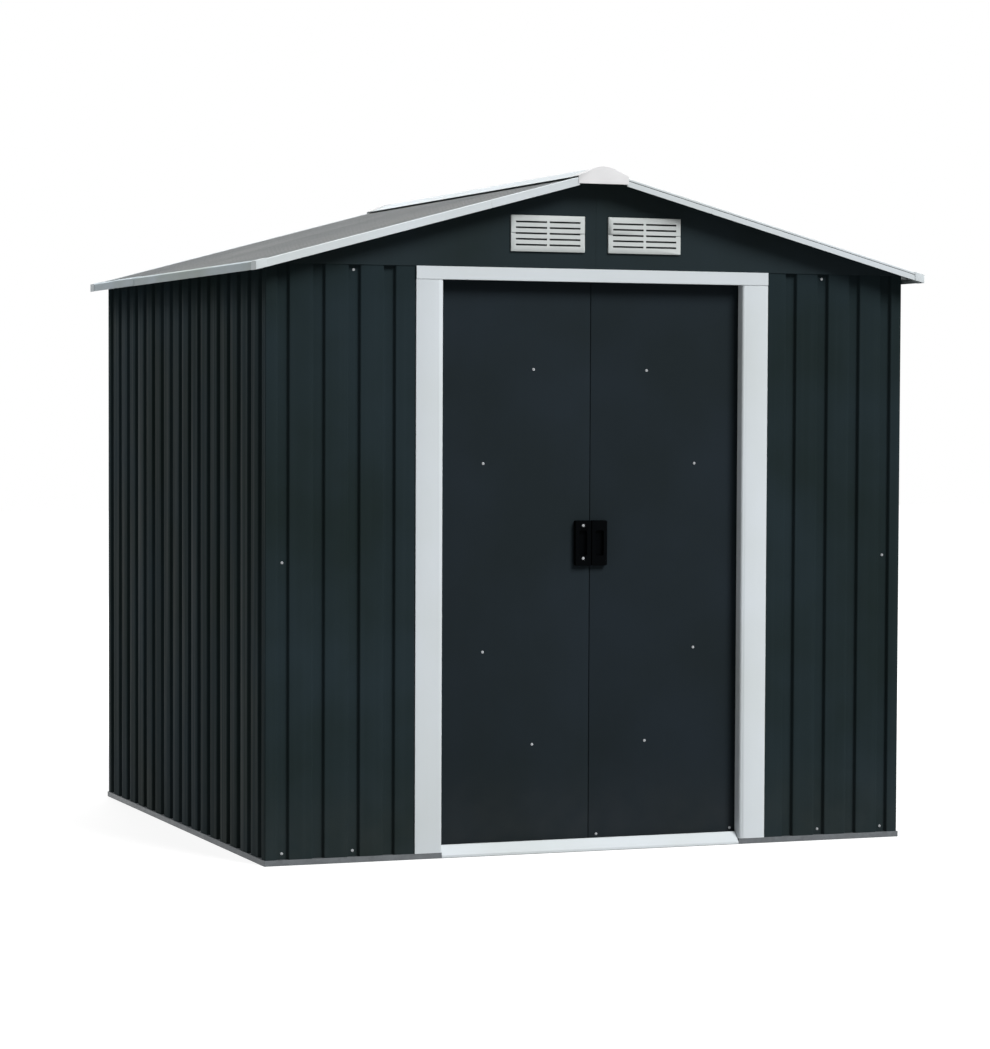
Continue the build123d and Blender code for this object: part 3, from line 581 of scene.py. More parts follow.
def grooved_sheet_tree():
    """A sheet with a groove at every pitch, rolled bends, optional returns at both ends, and its gauge.

    The profile lies along local X with +Y outwards, and the sheet stands up along Z.
    """
    tree, given = new_tree(
        "grooved_sheet",
        {
            "Start": "Float", "End": "Float", "Start return": "Float", "End return": "Float",
            "First groove": "Float", "Grooves": "Int", "Pitch": "Float", "Mouth": "Float", "Floor": "Float",
            "Depth": "Float", "Rolled bend": "Float", "Corner bend": "Float", "Height": "Float",
            "Gauge": "Float", "Paint": "Material", "Primer": "Material",
        },
    )
    value = given.outputs

    # Two points at each end and four for each groove
    corners = add_node(
        tree, "ShaderNodeMath", {0: value["Grooves"], 1: 4.0, 2: 4.0}, operation="MULTIPLY_ADD"
    )
    line = add_node(tree, "GeometryNodeMeshLine", {"Count": corners})
    index = add_node(tree, "GeometryNodeInputIndex")
    order = add_node(tree, "ShaderNodeMath", {0: index, 1: 2.0}, operation="SUBTRACT")
    quarter = add_node(tree, "ShaderNodeMath", {0: order, 1: 4.0}, operation="DIVIDE")
    groove = add_node(tree, "ShaderNodeMath", {0: quarter}, operation="FLOOR")
    corner = add_node(tree, "ShaderNodeMath", {0: groove, 1: -4.0, 2: order}, operation="MULTIPLY_ADD")
    side = add_node(tree, "ShaderNodeMath", {0: corner, 1: 1.5}, operation="SUBTRACT")
    reach = add_node(tree, "ShaderNodeMath", {0: side}, operation="ABSOLUTE")

    # A corner reaches half the floor or half the mouth from the middle of its groove
    half_floor = add_node(tree, "ShaderNodeMath", {0: value["Floor"], 1: 0.5}, operation="MULTIPLY")
    half_mouth = add_node(tree, "ShaderNodeMath", {0: value["Mouth"], 1: 0.5}, operation="MULTIPLY")
    half = add_node(tree, "ShaderNodeMapRange", {0: reach, 1: 0.5, 2: 1.5, 3: half_floor, 4: half_mouth})
    turned = add_node(tree, "ShaderNodeMath", {0: side}, operation="SIGN")
    middle = add_node(
        tree, "ShaderNodeMath", {0: groove, 1: value["Pitch"], 2: value["First groove"]},
        operation="MULTIPLY_ADD",
    )
    groove_along = add_node(
        tree, "ShaderNodeMath", {0: half, 1: turned, 2: middle}, operation="MULTIPLY_ADD"
    )
    sunk = add_node(tree, "ShaderNodeMath", {0: reach, 1: 1.5}, operation="SUBTRACT")
    groove_out = add_node(tree, "ShaderNodeMath", {0: sunk, 1: value["Depth"]}, operation="MULTIPLY")

    # The ends: a point at the foot of each return and one on the face
    at_start = add_node(tree, "ShaderNodeMath", {0: index, 1: 1.5}, operation="LESS_THAN")
    from_end = add_node(tree, "ShaderNodeMath", {0: corners, 1: index}, operation="SUBTRACT")
    at_end = add_node(tree, "ShaderNodeMath", {0: from_end, 1: 2.5}, operation="LESS_THAN")
    first = add_node(tree, "ShaderNodeMath", {0: index, 1: 0.5}, operation="LESS_THAN")
    last = add_node(tree, "ShaderNodeMath", {0: from_end, 1: 1.5}, operation="LESS_THAN")
    start_out = add_node(tree, "ShaderNodeMath", {0: first, 1: value["Start return"]}, operation="MULTIPLY")
    end_out = add_node(tree, "ShaderNodeMath", {0: last, 1: value["End return"]}, operation="MULTIPLY")
    ends_out = add_node(tree, "ShaderNodeMath", {0: start_out, 1: end_out}, operation="ADD")
    ends_in = add_node(tree, "ShaderNodeMath", {0: ends_out, 1: -1.0}, operation="MULTIPLY")
    at_ends = add_node(tree, "ShaderNodeMath", {0: at_start, 1: at_end}, operation="ADD")
    along_start = add_node(
        tree, "GeometryNodeSwitch", {0: at_start, 1: groove_along, 2: value["Start"]}, input_type="FLOAT"
    )
    along = add_node(
        tree, "GeometryNodeSwitch", {0: at_end, 1: along_start, 2: value["End"]}, input_type="FLOAT"
    )
    out = add_node(tree, "GeometryNodeSwitch", {0: at_ends, 1: groove_out, 2: ends_in}, input_type="FLOAT")
    point = add_node(tree, "ShaderNodeCombineXYZ", {0: along, 1: out})
    drawn = add_node(tree, "GeometryNodeSetPosition", {"Geometry": line, "Position": point})
    bend = add_node(
        tree, "GeometryNodeSwitch", {0: at_ends, 1: value["Rolled bend"], 2: value["Corner bend"]},
        input_type="FLOAT",
    )
    bent = add_node(
        tree, "GeometryNodeStoreNamedAttribute", {"Geometry": drawn, "Name": "bend", "Value": bend},
        data_type="FLOAT", domain="POINT",
    )
    single = add_node(tree, "GeometryNodeMergeByDistance", {"Geometry": bent, "Distance": MERGE})
    profile = add_node(tree, "GeometryNodeMeshToCurve", {"Mesh": single})
    radius = add_node(tree, "GeometryNodeInputNamedAttribute", {"Name": "bend"}, data_type="FLOAT")
    rolled = add_node(
        tree, "GeometryNodeFilletCurve",
        {"Curve": profile, "Count": 4, "Radius": radius, "Limit Radius": True}, mode="POLY",
    )
    edge = add_node(tree, "GeometryNodeCurveToMesh", {"Curve": rolled})

    # Drawn up to its height, then given its gauge on the inner side
    upright = add_node(tree, "ShaderNodeCombineXYZ", {2: value["Height"]})
    face = add_node(
        tree, "GeometryNodeExtrudeMesh", {"Mesh": edge, "Offset": upright, "Offset Scale": 1.0},
        mode="EDGES",
    )
    inwards = add_node(tree, "ShaderNodeMath", {0: value["Gauge"], 1: -1.0}, operation="MULTIPLY")
    shell = add_node(
        tree, "GeometryNodeExtrudeMesh",
        {"Mesh": face.outputs["Mesh"], "Offset Scale": inwards, "Individual": False}, mode="FACES",
    )
    marked = add_node(
        tree, "GeometryNodeStoreNamedAttribute",
        {"Geometry": shell.outputs["Mesh"], "Name": "inner_side", "Value": shell.outputs["Top"]},
        data_type="BOOLEAN", domain="FACE",
    )
    lining = add_node(tree, "GeometryNodeFlipFaces", {"Mesh": marked})
    both = add_node(tree, "GeometryNodeJoinGeometry", {0: lining})
    tree.links.new(face.outputs["Mesh"], both.inputs[0])
    closed = add_node(tree, "GeometryNodeMergeByDistance", {"Geometry": both, "Distance": MERGE})
    smooth = add_node(tree, "GeometryNodeSetShadeSmooth", {"Geometry": closed})
    inner = add_node(tree, "GeometryNodeInputNamedAttribute", {"Name": "inner_side"}, data_type="BOOLEAN")
    real = add_node(tree, "GeometryNodeRealizeInstances", {"Geometry": smooth})
    painted = add_node(tree, "GeometryNodeSetMaterial", {"Geometry": real, "Material": value["Paint"]})
    primed = add_node(
        tree, "GeometryNodeSetMaterial",
        {"Geometry": painted, "Selection": inner.outputs["Attribute"], "Material": value["Primer"]},
    )
    add_node(tree, "NodeGroupOutput", {"Geometry": primed})
    return tree


def grooves_between(start, end, sizes):
    """The first groove and the number of whole grooves at multiples of the pitch in a stretch of sheet."""
    first = ceil((start + sizes.groove_mouth / 2) / sizes.rib_pitch)
    last = floor((end - sizes.groove_mouth / 2) / sizes.rib_pitch)
    return first * sizes.rib_pitch, last - first + 1


def lap_strip(work, seam, height, sizes, lining):
    """Adds the edge of the lower panel, which closes a lap just behind the sheets, in the lining's look."""
    middle = seam - sizes.lap_gap / 2

    # The strip's middle: half a gauge and a fine gap behind the inner side of the sheets
    behind = -1.5 * sizes.sheet_gauge - sizes.lap_gap / 4
    spread = Matrix.Diagonal((sizes.lap_width, sizes.sheet_gauge, height, 1))
    place = Matrix.Translation((middle, behind, height / 2))
    strip = bmesh.ops.create_cube(work, size=1.0, matrix=place @ spread)
    for face in {face for corner in strip["verts"] for face in corner.link_faces}:
        face.material_index = lining


def grooved_panels(name, paint, panels, depth, height, place):
    """One mesh of grooved panels, each with its start, end and returns, moved to its place."""
    sizes = bpy.context.scene.shed_sizes
    tree = bpy.data.node_groups.get("grooved_sheet") or grooved_sheet_tree()
    joined = bmesh.new()
    for start, end, start_return, end_return in panels:
        first, count = grooves_between(start, end, sizes)
        sheet = grow(
            tree,
            bpy.data.meshes.new("sheet"),
            {
                "Start": start, "End": end, "Start return": start_return, "End return": end_return,
                "First groove": first, "Grooves": count, "Pitch": sizes.rib_pitch,
                "Mouth": sizes.groove_mouth, "Floor": sizes.groove_floor, "Depth": depth,
                "Rolled bend": sizes.rolled_bend, "Corner bend": sizes.corner_bend, "Height": height,
                "Gauge": sizes.sheet_gauge, "Paint": finish(paint), "Primer": finish("primer"),
            },
        )
        joined.from_mesh(sheet)
        materials = list(sheet.materials)
        bpy.data.meshes.remove(sheet)
    for start, *ends in panels[1:]:
        lap_strip(joined, start, height, sizes, materials.index(finish("primer")))
    mesh = bpy.data.meshes.new(name)
    joined.to_mesh(mesh)
    joined.free()
    for material in materials:
        mesh.materials.append(material)
    mesh.transform(place)
    mesh.set_sharp_from_angle(angle=SHARP_FOLD)
    return mesh


def put_in(name, mesh, body, slot, *nodes):
    """Adds a finished mesh as a piece that rides on a body and stands for these nodes of the frame."""
    piece = bpy.data.objects.new(name, mesh)
    bpy.context.scene.collection.objects.link(piece)
    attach(piece, body)
    if nodes:
        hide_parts(*nodes)
    return piece


def axes(along, out, up, origin):
    """The matrix that takes along, out and up to these directions from this origin."""
    turn = Matrix((along, out, up)).transposed().to_4x4()
    return Matrix.Translation(origin) @ turn


class SHED_OT_cladding(Operator):
    """Rolls the grooved sheets of the four walls"""

    bl_idname = "shed.cladding"
    bl_label = "Wall Cladding"

    def execute(self, context):
        sizes = context.scene.shed_sizes
        up = (0, 0, 1)
        height = wall_top - wall_bottom
        front = axes((-1, 0, 0), (0, -1, 0), up, (0, -half_depth, wall_bottom))
        back = axes((1, 0, 0), (0, 1, 0), up, (0, half_depth, wall_bottom))
        side_split = sizes.rib_pitch * sizes.side_middle / 2
        back_split = sizes.rib_pitch * sizes.back_middle / 2
        side_panels = [
            (-side_end, -side_split - sizes.lap_gap, 0, 0),
            (-side_split, side_split, 0, 0),
            (side_split + sizes.lap_gap, side_end, 0, 0),
        ]
        walls = {
            "front_wall_left": ([(front_start, half_width, 0, corner_return)], front),
            "front_wall_right": ([(-half_width, -front_start, corner_return, 0)], front),
            "back_wall": (
                [
                    (-half_width, -back_split - sizes.lap_gap, corner_return, 0),
                    (-back_split, back_split, 0, 0),
                    (back_split + sizes.lap_gap, half_width, 0, corner_return),
                ],
                back,
            ),
            "right_wall": (side_panels, axes((0, -1, 0), (1, 0, 0), up, (half_width, 0, wall_bottom))),
            "left_wall": (side_panels, axes((0, 1, 0), (-1, 0, 0), up, (-half_width, 0, wall_bottom))),
        }
        for node, (panels, place) in walls.items():
            mesh = grooved_panels(
                node + "_sheet", "anthracite_sheet", panels, sizes.wall_groove, height, place
            )
            put_in(node + "_sheet", mesh, "shed", "anthracite_sheet", node)
        return {"FINISHED"}


class SHED_OT_roofing(Operator):
    """Rolls the grooved sheets of both roof slopes"""

    bl_idname = "shed.roofing"
    bl_label = "Roof Sheets"

    def execute(self, context):
        sizes = context.scene.shed_sizes
        slope = sizes.roof_angle
        thickness = sizes.roof_groove + sizes.sheet_gauge
        top = (roof_low.x + thickness * sin(slope), roof_high.z)
        run = (roof_high.x - top[0]) / cos(slope)
        split = sizes.rib_pitch * sizes.side_middle / 2
        panels = [
            (roof_low.y, -split - sizes.lap_gap, 0, 0),
            (-split, split, 0, 0),
            (split + sizes.lap_gap, roof_high.y, 0, 0),
        ]
        for node, sign in (("roof_right", 1), ("roof_left", -1)):
            place = axes(
                (0, sign, 0),
                (sign * sin(slope), 0, cos(slope)),
                (sign * cos(slope), 0, -sin(slope)),
                (sign * top[0], 0, top[1]),
            )
            mesh = grooved_panels(node + "_sheet", "roof_sheet", panels, sizes.roof_groove, run, place)
            put_in(node + "_sheet", mesh, "shed", "anthracite_sheet", node)
        return {"FINISHED"}


def is_fold(edge, convex, gauge):
    """Whether an edge is a fold line between two faces that are wider than the sheet is thick."""
    if len(edge.link_faces) != 2 or edge.is_convex != convex or edge.calc_face_angle() < FOLD_ANGLE:
        return False
    return min(face.calc_area() for face in edge.link_faces) > FOLD_GAUGES * gauge * edge.calc_length()


def rounded_folds(node, radius, gauge):
    """A smooth copy of a node, with its fold lines rounded to a bend of the sheet's gauge."""
    work = bmesh.new()
    work.from_mesh(frame["nodes"][node].data)
    bmesh.ops.remove_doubles(work, verts=work.verts, dist=MERGE)
    bmesh.ops.dissolve_limit(work, angle_limit=FLAT_ANGLE, verts=work.verts, edges=work.edges)
    for convex, bend in ((True, radius), (False, radius - gauge)):
        folds = [edge for edge in work.edges if bend > 0 and is_fold(edge, convex, gauge)]
        bmesh.ops.bevel(
            work, geom=folds, offset=bend, segments=FOLD_SEGMENTS, profile=0.5, affect="EDGES",
            clamp_overlap=True,
        )
        bmesh.ops.dissolve_degenerate(work, dist=MERGE, edges=work.edges)
    mesh = bpy.data.meshes.new(node + "_folded")
    work.to_mesh(mesh)
    work.free()
    for polygon in mesh.polygons:
        polygon.use_smooth = True
    mesh.set_sharp_from_angle(angle=SHARP_FOLD)
    return mesh


def dress(node, body="shed", radius=0.0, gauge=0.0, look=None):
    """Replaces a node by its smooth copy, in the finish of its slot or in another look."""
    mesh = rounded_folds(node, radius, gauge)
    mesh.materials.append(finish(look or slot_of[node]))
    return put_in(node + "_formed", mesh, body, slot_of[node], node)


# Trim that has another look than its slot's
TRIM_LOOKS = {
    "ridge_end_caps": "cap_plastic",
    "eave_trim_left": "eave_trim",
    "eave_trim_right": "eave_trim",
}


class SHED_OT_trim(Operator):
    """Folds the white trim round the doorway and along the roof's edges, and moulds the ridge's end caps"""

    bl_idname = "shed.trim"
    bl_label = "White Trim"

    def execute(self, context):
        sizes = context.scene.shed_sizes
        for node, slot in slot_of.items():
            if slot == "white_trim":
                piece = dress(node, "shed", sizes.trim_fold, sizes.trim_gauge, TRIM_LOOKS.get(node))
                if node.startswith("ridge"):
                    self.spring(piece.data, sizes)
                if "rake" in node:
                    self.crease(piece.data, sizes, -1 if node.startswith("front") else 1)
        return {"FINISHED"}

    def crease(self, mesh, sizes, front):
        """Rolls a hem line into the rake trims on the right of a gable, with painted shade on its upper
        flank.
        """
        normal = Vector((-front * sin(sizes.roof_angle), 0, cos(sizes.roof_angle)))
        work = bmesh.new()
        work.from_mesh(mesh)
        right = [corner for corner in work.verts if front * corner.co.x < 0]
        line = max(normal.dot(corner.co) for corner in right) - sizes.hem_drop
        outer_skin = max(front * corner.co.y for corner in right) - 0.6 * sizes.trim_gauge

        # The hem's two edges and its bottom, cut parallel to the slope
        for drop in (-sizes.hem_half, 0, sizes.hem_half):
            faces = [face for face in work.faces if front * face.calc_center_median().x < 0]
            edges = {edge for face in faces for edge in face.edges}
            corners = {corner for face in faces for corner in face.verts}
            bmesh.ops.bisect_plane(
                work, geom=[*faces, *edges, *corners], plane_co=normal * (line - drop), plane_no=normal
            )
        for corner in work.verts:
            outside = front * corner.co.x < 0 and front * corner.co.y > outer_skin
            if outside and abs(normal.dot(corner.co) - line) < MERGE:
                corner.co.y -= front * sizes.hem_depth
        # Painted shade: the hem's outer upper flank takes the dark recess material, which draws a shadow
        # line
        for face in work.faces:
            middle = face.calc_center_median()
            outside = front * middle.x < 0 and front * middle.y > outer_skin
            if outside and 0 < normal.dot(middle) - line < sizes.hem_half:
                face.material_index = 1
        work.to_mesh(mesh)
        work.free()
        mesh.materials.append(finish("painted_recess_shade"))
        mesh.set_sharp_from_angle(angle=SHARP_FOLD)

    def spring(self, mesh, sizes):
        """Lets the free edges of the ridge cap stand a little off the roof, with a dark gap below them."""
        for corner in mesh.vertices:
            if abs(abs(corner.co.x) - ridge_half) < 2 * sizes.trim_gauge:
                corner.co.z += sizes.ridge_gap


class SHED_OT_gables(Operator):
    """Dresses the gables in their lightened paint and moulds the vents, with painted shade in their slots
    """

    bl_idname = "shed.gables"
    bl_label = "Gables and Vents"

    def execute(self, context):
        for node in ("front_gable", "back_gable"):
            dress(node, look="gable_sheet")
        for node in ("front_vents", "back_vents"):
            self.paint_recess_shade(dress(node).data, context.scene.shed_sizes.vent_rim)
        return {"FINISHED"}

    def paint_recess_shade(self, mesh, rim):
        """Paints shade on the walls of the slots, inside the rim of each vent, in a dark material."""
        mesh.materials.append(finish("painted_recess_shade"))
        high = max(corner.co.z for corner in mesh.vertices)
        low = min(corner.co.z for corner in mesh.vertices)
        for side in (-1, 1):
            across = [side * corner.co.x for corner in mesh.vertices if side * corner.co.x > 0]
            for face in mesh.polygons:
                beside = min(across) + rim < side * face.center.x < max(across) - rim
                between = low + rim < face.center.z < high - rim
                if beside and between and abs(face.normal.y) < OUTWARD_SHARE:
                    face.material_index = 1


class SHED_OT_rails(Operator):
    """Folds the base rails, the inner rails, the track and the roof frame"""

    bl_idname = "shed.rails"
    bl_label = "Rails"

    def execute(self, context):
        sizes = context.scene.shed_sizes
        for node, slot in slot_of.items():
            if slot == "galvanised_steel" and "_door_" not in node:
                dress(node, "shed", sizes.rail_fold, sizes.rail_gauge)
        return {"FINISHED"}


class SHED_OT_doors(Operator):
    """Folds both door leaves and finishes their braces, pulls, rollers and guides"""

    bl_idname = "shed.doors"
    bl_label = "Doors"

    def execute(self, context):
        sizes = context.scene.shed_sizes
        for body in ("left_door", "right_door"):
            leaf = dress(body + "_leaf", body, sizes.leaf_fold, sizes.sheet_gauge)
            dress(body + "_braces", body, sizes.rail_fold, sizes.rail_gauge)
            pull = dress(body + "_handle", body)
            for piece in (leaf, pull):
                self.close_up(piece.data, sizes)
            for kind in ("rollers", "guides"):
                dress(f"{body}_{kind}", body)
        return {"FINISHED"}

    def close_up(self, mesh, sizes):
        """Brings the meeting edge of a leaf or pull close to the other door's, down to a fine line."""
        for corner in mesh.vertices:
            if abs(corner.co.x) < leaf_low.x + sizes.edge_zone:
                corner.co.x -= copysign(sizes.edge_reach, corner.co.x)


def screw_head(sizes):
    """A pan-head screw with a washer, standing on its sheet along +Z, as a turned profile of few faces."""
    # Rings of the washer, the head and the drive in it, each with its radius and height
    profile = [
        (sizes.washer_radius, 0),
        (sizes.washer_radius, 0.3 * sizes.head_height),
        (sizes.head_radius, 0.36 * sizes.head_height),
        (0.85 * sizes.head_radius, 0.8 * sizes.head_height),
        (0.45 * sizes.head_radius, sizes.head_height),
        (0.25 * sizes.head_radius, 0.65 * sizes.head_height),
    ]
    sides = 12
    work = bmesh.new()
    rings = []
    for radius, height in profile:
        turns = [2 * pi * step / sides for step in range(sides)]
        rings.append([work.verts.new((radius * cos(turn), radius * sin(turn), height)) for turn in turns])
    for lower, upper in zip(rings, rings[1:]):
        for step in range(sides):
            ahead = (step + 1) % sides
            work.faces.new((lower[step], lower[ahead], upper[ahead], upper[step]))
    work.faces.new(list(reversed(rings[0])))
    work.faces.new(rings[-1])
    mesh = bpy.data.meshes.new("screw_head")
    work.to_mesh(mesh)
    work.free()
    return mesh


def screw_tree():
    """Sets a screw head on every point, along the direction that the point faces, turned at random."""
    tree, given = new_tree(
        "screw_rows", {"Geometry": "Geometry", "Screw": "Object", "Seed": "Int", "Metal": "Material"}
    )
    value = given.outputs
    head = add_node(tree, "GeometryNodeObjectInfo", {"Object": value["Screw"]})
    facing = add_node(tree, "GeometryNodeInputNamedAttribute", {"Name": "facing"}, data_type="FLOAT_VECTOR")
    aimed = add_node(
        tree, "FunctionNodeAlignRotationToVector", {"Vector": facing.outputs["Attribute"]}, axis="Z"
    )
    spin = add_node(
        tree, "FunctionNodeRandomValue", {"Min": (0, 0, 0), "Max": (0, 0, 2 * pi), "Seed": value["Seed"]},
        data_type="FLOAT_VECTOR",
    )
    turned = add_node(
        tree, "FunctionNodeRotateRotation", {"Rotation": aimed, "Rotate By": spin}, rotation_space="LOCAL"
    )
    placed = add_node(
        tree, "GeometryNodeInstanceOnPoints",
        {"Points": value["Geometry"], "Instance": head.outputs["Geometry"], "Rotation": turned},
    )
    real = add_node(tree, "GeometryNodeRealizeInstances", {"Geometry": placed})
    plated = add_node(tree, "GeometryNodeSetMaterial", {"Geometry": real, "Material": value["Metal"]})
    add_node(tree, "NodeGroupOutput", {"Geometry": plated})
    return tree


def screws(name, body, places, seed):
    """Screws at these places, each a point and the direction it faces, as one mesh on a body."""
    points = bpy.data.meshes.new(name + "_points")
    points.from_pydata([place for place, facing in places], [], [])
    facings = points.attributes.new("facing", "FLOAT_VECTOR", "POINT")
    facings.data.foreach_set("vector", [axis for place, facing in places for axis in facing])
    template = bpy.data.objects.new("screw_head", screw_head(bpy.context.scene.shed_sizes))
    bpy.context.scene.collection.objects.link(template)
    tree = bpy.data.node_groups.get("screw_rows") or screw_tree()
    mesh = grow(tree, points, {"Screw": template, "Seed": seed, "Metal": finish("screw")})
    bpy.data.objects.remove(template)
    for polygon in mesh.polygons:
        polygon.use_smooth = True
    mesh.set_sharp_from_angle(angle=SHARP_SCREW)
    put_in(name, mesh, body, "galvanised_steel")


class SHED_OT_screws(Operator):
    """Drives the screws of the walls, the roof and the doors"""

    bl_idname = "shed.screws"
    bl_label = "Screws"

    def execute(self, context):
        sizes = context.scene.shed_sizes
        groups = (
            ("wall_screws", "shed", self.wall_places(sizes)),
            ("roof_screws", "shed", self.roof_places(sizes)),
            ("left_door_screws", "left_door", self.brace_places(sizes, -1) + self.pull_places(sizes)),
            ("right_door_screws", "right_door", self.brace_places(sizes, 1) + self.guide_places(sizes)),
        )
        for seed, (name, body, places) in enumerate(groups, FIRST_SEED):
            screws(name, body, places, seed)
        return {"FINISHED"}

    def other_grooves(self, half_length, sizes):
        """The places of every other groove along a wall or roof of this half length."""
        last = floor((half_length - sizes.groove_mouth / 2) / sizes.rib_pitch)
        return [groove * sizes.rib_pitch for groove in range(-last, last + 1, 2)]

    def wall_places(self, sizes):
        """In the floors of the grooves: a few in front, and three rows round the sides and the back."""
        low = wall_bottom + sizes.low_row
        middle = (rail_low.z + rail_high.z) / 2
        top = wall_top - sizes.top_row
        floor_depth = half_depth - sizes.wall_groove
        floor_width = half_width - sizes.wall_groove
        places = []

        # In front, by grooves that are counted from the middle of the shed
        for side in (-1, 1):
            for groove, height in ((7, low), (9, low), (9, middle), (7, top)):
                places.append(((side * groove * sizes.rib_pitch, -floor_depth, height), (0, -1, 0)))
        for height in (low, middle, top):
            for along in self.other_grooves(side_end, sizes):
                places += [((side * floor_width, along, height), (side, 0, 0)) for side in (-1, 1)]
            for across in self.other_grooves(half_width, sizes):
                places.append(((across, floor_depth, height), (0, 1, 0)))
        return places

    def roof_places(self, sizes):
        """In the floors of the grooves over the wall tops, the purlins and the ridge beam."""
        slope = sizes.roof_angle
        top = roof_low.x + (sizes.roof_groove + sizes.sheet_gauge) * sin(slope)
        places = []
        for side in (-1, 1):
            facing = Vector((side * sin(slope), 0, cos(slope)))
            for x in (half_width - sizes.eave_row, half_width / 2, sizes.ridge_row):
                height = roof_high.z - (x - top) * tan(slope)
                for along in self.other_grooves(roof_high.y, sizes):
                    crest = Vector((side * x, along, height))
                    places.append((crest - facing * sizes.roof_groove, facing))
        return places

    def brace_places(self, sizes, side):
        """At thirds of each brace of a door leaf."""
        middle = (leaf_low.z + leaf_high.z) / 2 + sizes.brace_rise
        half_height = (leaf_high.z - leaf_low.z) / 2
        places = []
        for share, shift in ((1 / 3, 0), (2 / 3, sizes.brace_shift)):
            x = leaf_high.x - share * (leaf_high.x - leaf_low.x) + shift
            for sign in (-1, 1):
                places.append(((side * x, leaf_low.y, middle + sign * share * half_height), (0, -1, 0)))
        return places

    def guide_places(self, sizes):
        """At the foot of the right leaf, into its guides."""
        height = leaf_low.z + sizes.guide_row
        across = (leaf_low.x + sizes.guide_inner, leaf_high.x - sizes.guide_outer)
        return [((x, leaf_low.y, height), (0, -1, 0)) for x in across]

    def pull_places(self, sizes):
        """Above and below the finger pocket of the left pull."""
        middle = (handle_low.x + handle_high.x) / 2
        heights = (handle_low.z + sizes.pull_foot, handle_high.z - sizes.pull_top)
        return [((middle, handle_low.y, height), (0, -1, 0)) for height in heights]


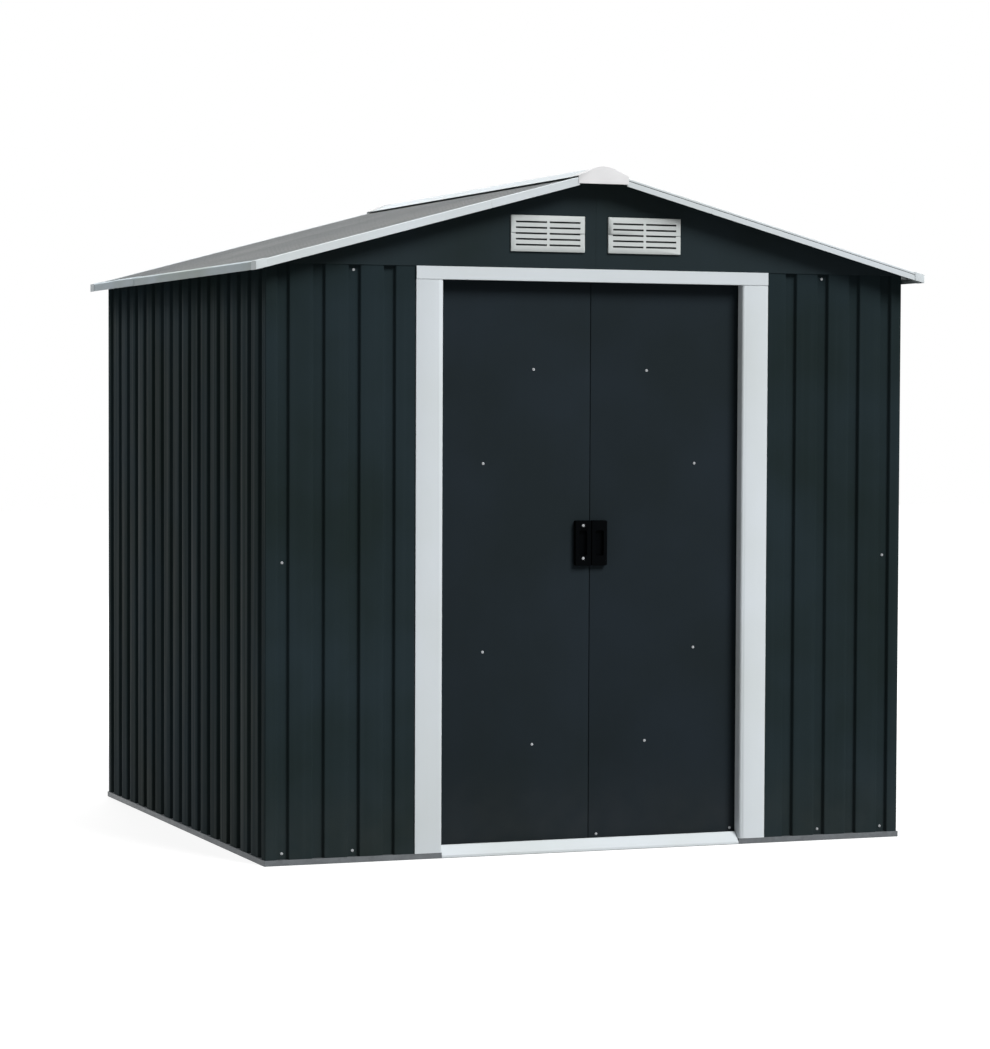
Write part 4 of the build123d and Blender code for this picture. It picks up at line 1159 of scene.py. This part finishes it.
class SHED_OT_stage(Operator):
    """Lays the floor and sets the light and the camera"""

    bl_idname = "shed.stage"
    bl_label = "Stage"

    def execute(self, context):
        scene = context.scene
        stage = scene.shed_stage
        scene.view_settings.view_transform = "Standard"
        self.floor(scene, stage)
        self.world(scene, stage)
        self.key_light(scene, stage)
        self.lamp(scene, "fill_lamp", stage.fill_place, stage.lamp_aim, stage.fill_width, stage.fill)
        self.lamp(scene, "back_lamp", stage.back_place, stage.lamp_aim, stage.back_width, stage.back)
        self.camera(scene, stage)
        return {"FINISHED"}

    def floor(self, scene, stage):
        """A wide pale floor that keeps the shadow and is lifted to white where the lens sees it."""
        reach = stage.floor_reach
        mesh = bpy.data.meshes.new("studio_floor")
        corners = [(-reach, -reach, 0), (reach, -reach, 0), (reach, reach, 0), (-reach, reach, 0)]
        mesh.from_pydata(corners, [], [(0, 1, 2, 3)])
        ground = bpy.data.objects.new("studio_floor", mesh)
        scene.collection.objects.link(ground)
        material, tree = blank_material("matt_studio_floor")
        path = add_node(tree, "ShaderNodeLightPath")
        seen = add_node(
            tree, "ShaderNodeMath",
            {0: path.outputs["Is Camera Ray"], 1: path.outputs["Is Glossy Ray"]}, operation="MAXIMUM",
        )
        glow = add_node(tree, "ShaderNodeMath", {0: seen, 1: stage.floor_glow}, operation="MULTIPLY")
        matt = add_node(tree, "ShaderNodeBsdfDiffuse", {"Color": opaque(scene.shed_colours.floor)})
        lift = add_node(tree, "ShaderNodeEmission", {"Color": (1, 1, 1, 1), "Strength": glow})
        both = add_node(tree, "ShaderNodeAddShader", {0: matt, 1: lift})
        add_node(tree, "ShaderNodeOutputMaterial", {"Surface": both})
        mesh.materials.append(material)

    def world(self, scene, stage):
        """Soft light that is stronger overhead; the lens, gloss and glass see plain white."""
        world = bpy.data.worlds.new("soft_studio")
        world.use_nodes = True
        tree = world.node_tree
        tree.nodes.clear()
        direction = add_node(tree, "ShaderNodeTexCoord").outputs["Generated"]
        height = add_node(tree, "ShaderNodeSeparateXYZ", {0: direction}).outputs["Z"]
        ambient = add_node(
            tree, "ShaderNodeMapRange", {0: height, 1: 0.0, 2: 1.0, 3: stage.horizon, 4: stage.sky}
        )
        path = add_node(tree, "ShaderNodeLightPath")
        gloss = add_node(
            tree, "ShaderNodeMath",
            {0: path.outputs["Is Glossy Ray"], 1: path.outputs["Is Transmission Ray"]}, operation="MAXIMUM",
        )
        seen = add_node(
            tree, "ShaderNodeMath", {0: path.outputs["Is Camera Ray"], 1: gloss}, operation="MAXIMUM"
        )
        lit = add_node(tree, "ShaderNodeBackground", {"Color": (1, 1, 1, 1), "Strength": ambient})
        white = add_node(tree, "ShaderNodeBackground", {"Color": (1, 1, 1, 1), "Strength": 1.0})
        mixed = add_node(tree, "ShaderNodeMixShader", {0: seen, 1: lit, 2: white})
        add_node(tree, "ShaderNodeOutputWorld", {"Surface": mixed})
        scene.world = world

    def key_light(self, scene, stage):
        """A broad main light that reaches the whole floor evenly, from high on the right, without glare."""
        light = bpy.data.lights.new("key_light", "SUN")
        light.energy = stage.key
        light.angle = stage.key_spread
        lamp = bpy.data.objects.new("key_light", light)
        level = cos(stage.key_height)
        towards = Vector((level * sin(stage.key_turn), -level * cos(stage.key_turn), sin(stage.key_height)))
        lamp.rotation_euler = towards.to_track_quat("Z", "Y").to_euler()
        lamp.visible_glossy = False
        scene.collection.objects.link(lamp)

    def lamp(self, scene, name, place, aim, width, watts):
        """A large soft lamp that points at its aim and isn't seen by the lens or in gloss."""
        light = bpy.data.lights.new(name, "AREA")
        light.shape = "DISK"
        light.size = width
        light.energy = watts
        lamp = bpy.data.objects.new(name, light)
        lamp.location = place
        lamp.rotation_euler = (Vector(aim) - Vector(place)).to_track_quat("-Z", "Y").to_euler()
        lamp.visible_camera = False
        lamp.visible_glossy = False
        scene.collection.objects.link(lamp)

    def camera(self, scene, stage):
        """A long lens at the photo's place and angle."""
        yaw, pitch, roll = stage.camera_yaw, stage.camera_pitch, stage.camera_roll
        right = Vector((cos(yaw), sin(yaw), 0))
        ahead = Vector((-sin(yaw) * cos(pitch), cos(yaw) * cos(pitch), sin(pitch)))
        above = right.cross(ahead)
        level = right * cos(roll) + above * sin(roll)
        upright = above * cos(roll) - right * sin(roll)
        data = bpy.data.cameras.new("photo_camera")
        data.lens = stage.lens
        data.shift_x, data.shift_y = stage.shift
        camera = bpy.data.objects.new("photo_camera", data)
        camera.matrix_world = axes(level, upright, -ahead, stage.camera_place)
        scene.collection.objects.link(camera)
        scene.camera = camera


STEPS = (
    SHED_OT_cladding,
    SHED_OT_roofing,
    SHED_OT_trim,
    SHED_OT_gables,
    SHED_OT_rails,
    SHED_OT_doors,
    SHED_OT_screws,
    SHED_OT_stage,
)
GROUPS = {"shed_sizes": ShedSizes, "shed_colours": ShedColours, "shed_stage": ShedStage}


class SHED_PT_sidebar(Panel):
    """Lists the shed's steps and settings"""

    bl_label = "Metal Storage Shed"
    bl_space_type = "VIEW_3D"
    bl_region_type = "UI"
    bl_category = "Shed"

    def draw(self, context):
        for step in STEPS:
            self.layout.operator(step.bl_idname)
        for group, kind in GROUPS.items():
            box = self.layout.box()
            for name in kind.__annotations__:
                box.prop(getattr(context.scene, group), name)


CLASSES = (*GROUPS.values(), *STEPS, SHED_PT_sidebar)


def register():
    for kind in CLASSES:
        bpy.utils.register_class(kind)
    for group, kind in GROUPS.items():
        setattr(bpy.types.Scene, group, PointerProperty(type=kind))


def unregister():
    for group in GROUPS:
        delattr(bpy.types.Scene, group)
    for kind in reversed(CLASSES):
        bpy.utils.unregister_class(kind)


def main():
    """Builds every piece and the stage."""
    register()
    bpy.ops.shed.cladding()
    bpy.ops.shed.roofing()
    bpy.ops.shed.trim()
    bpy.ops.shed.gables()
    bpy.ops.shed.rails()
    bpy.ops.shed.doors()
    bpy.ops.shed.screws()
    bpy.ops.shed.stage()


if __name__ == "__main__":
    main()
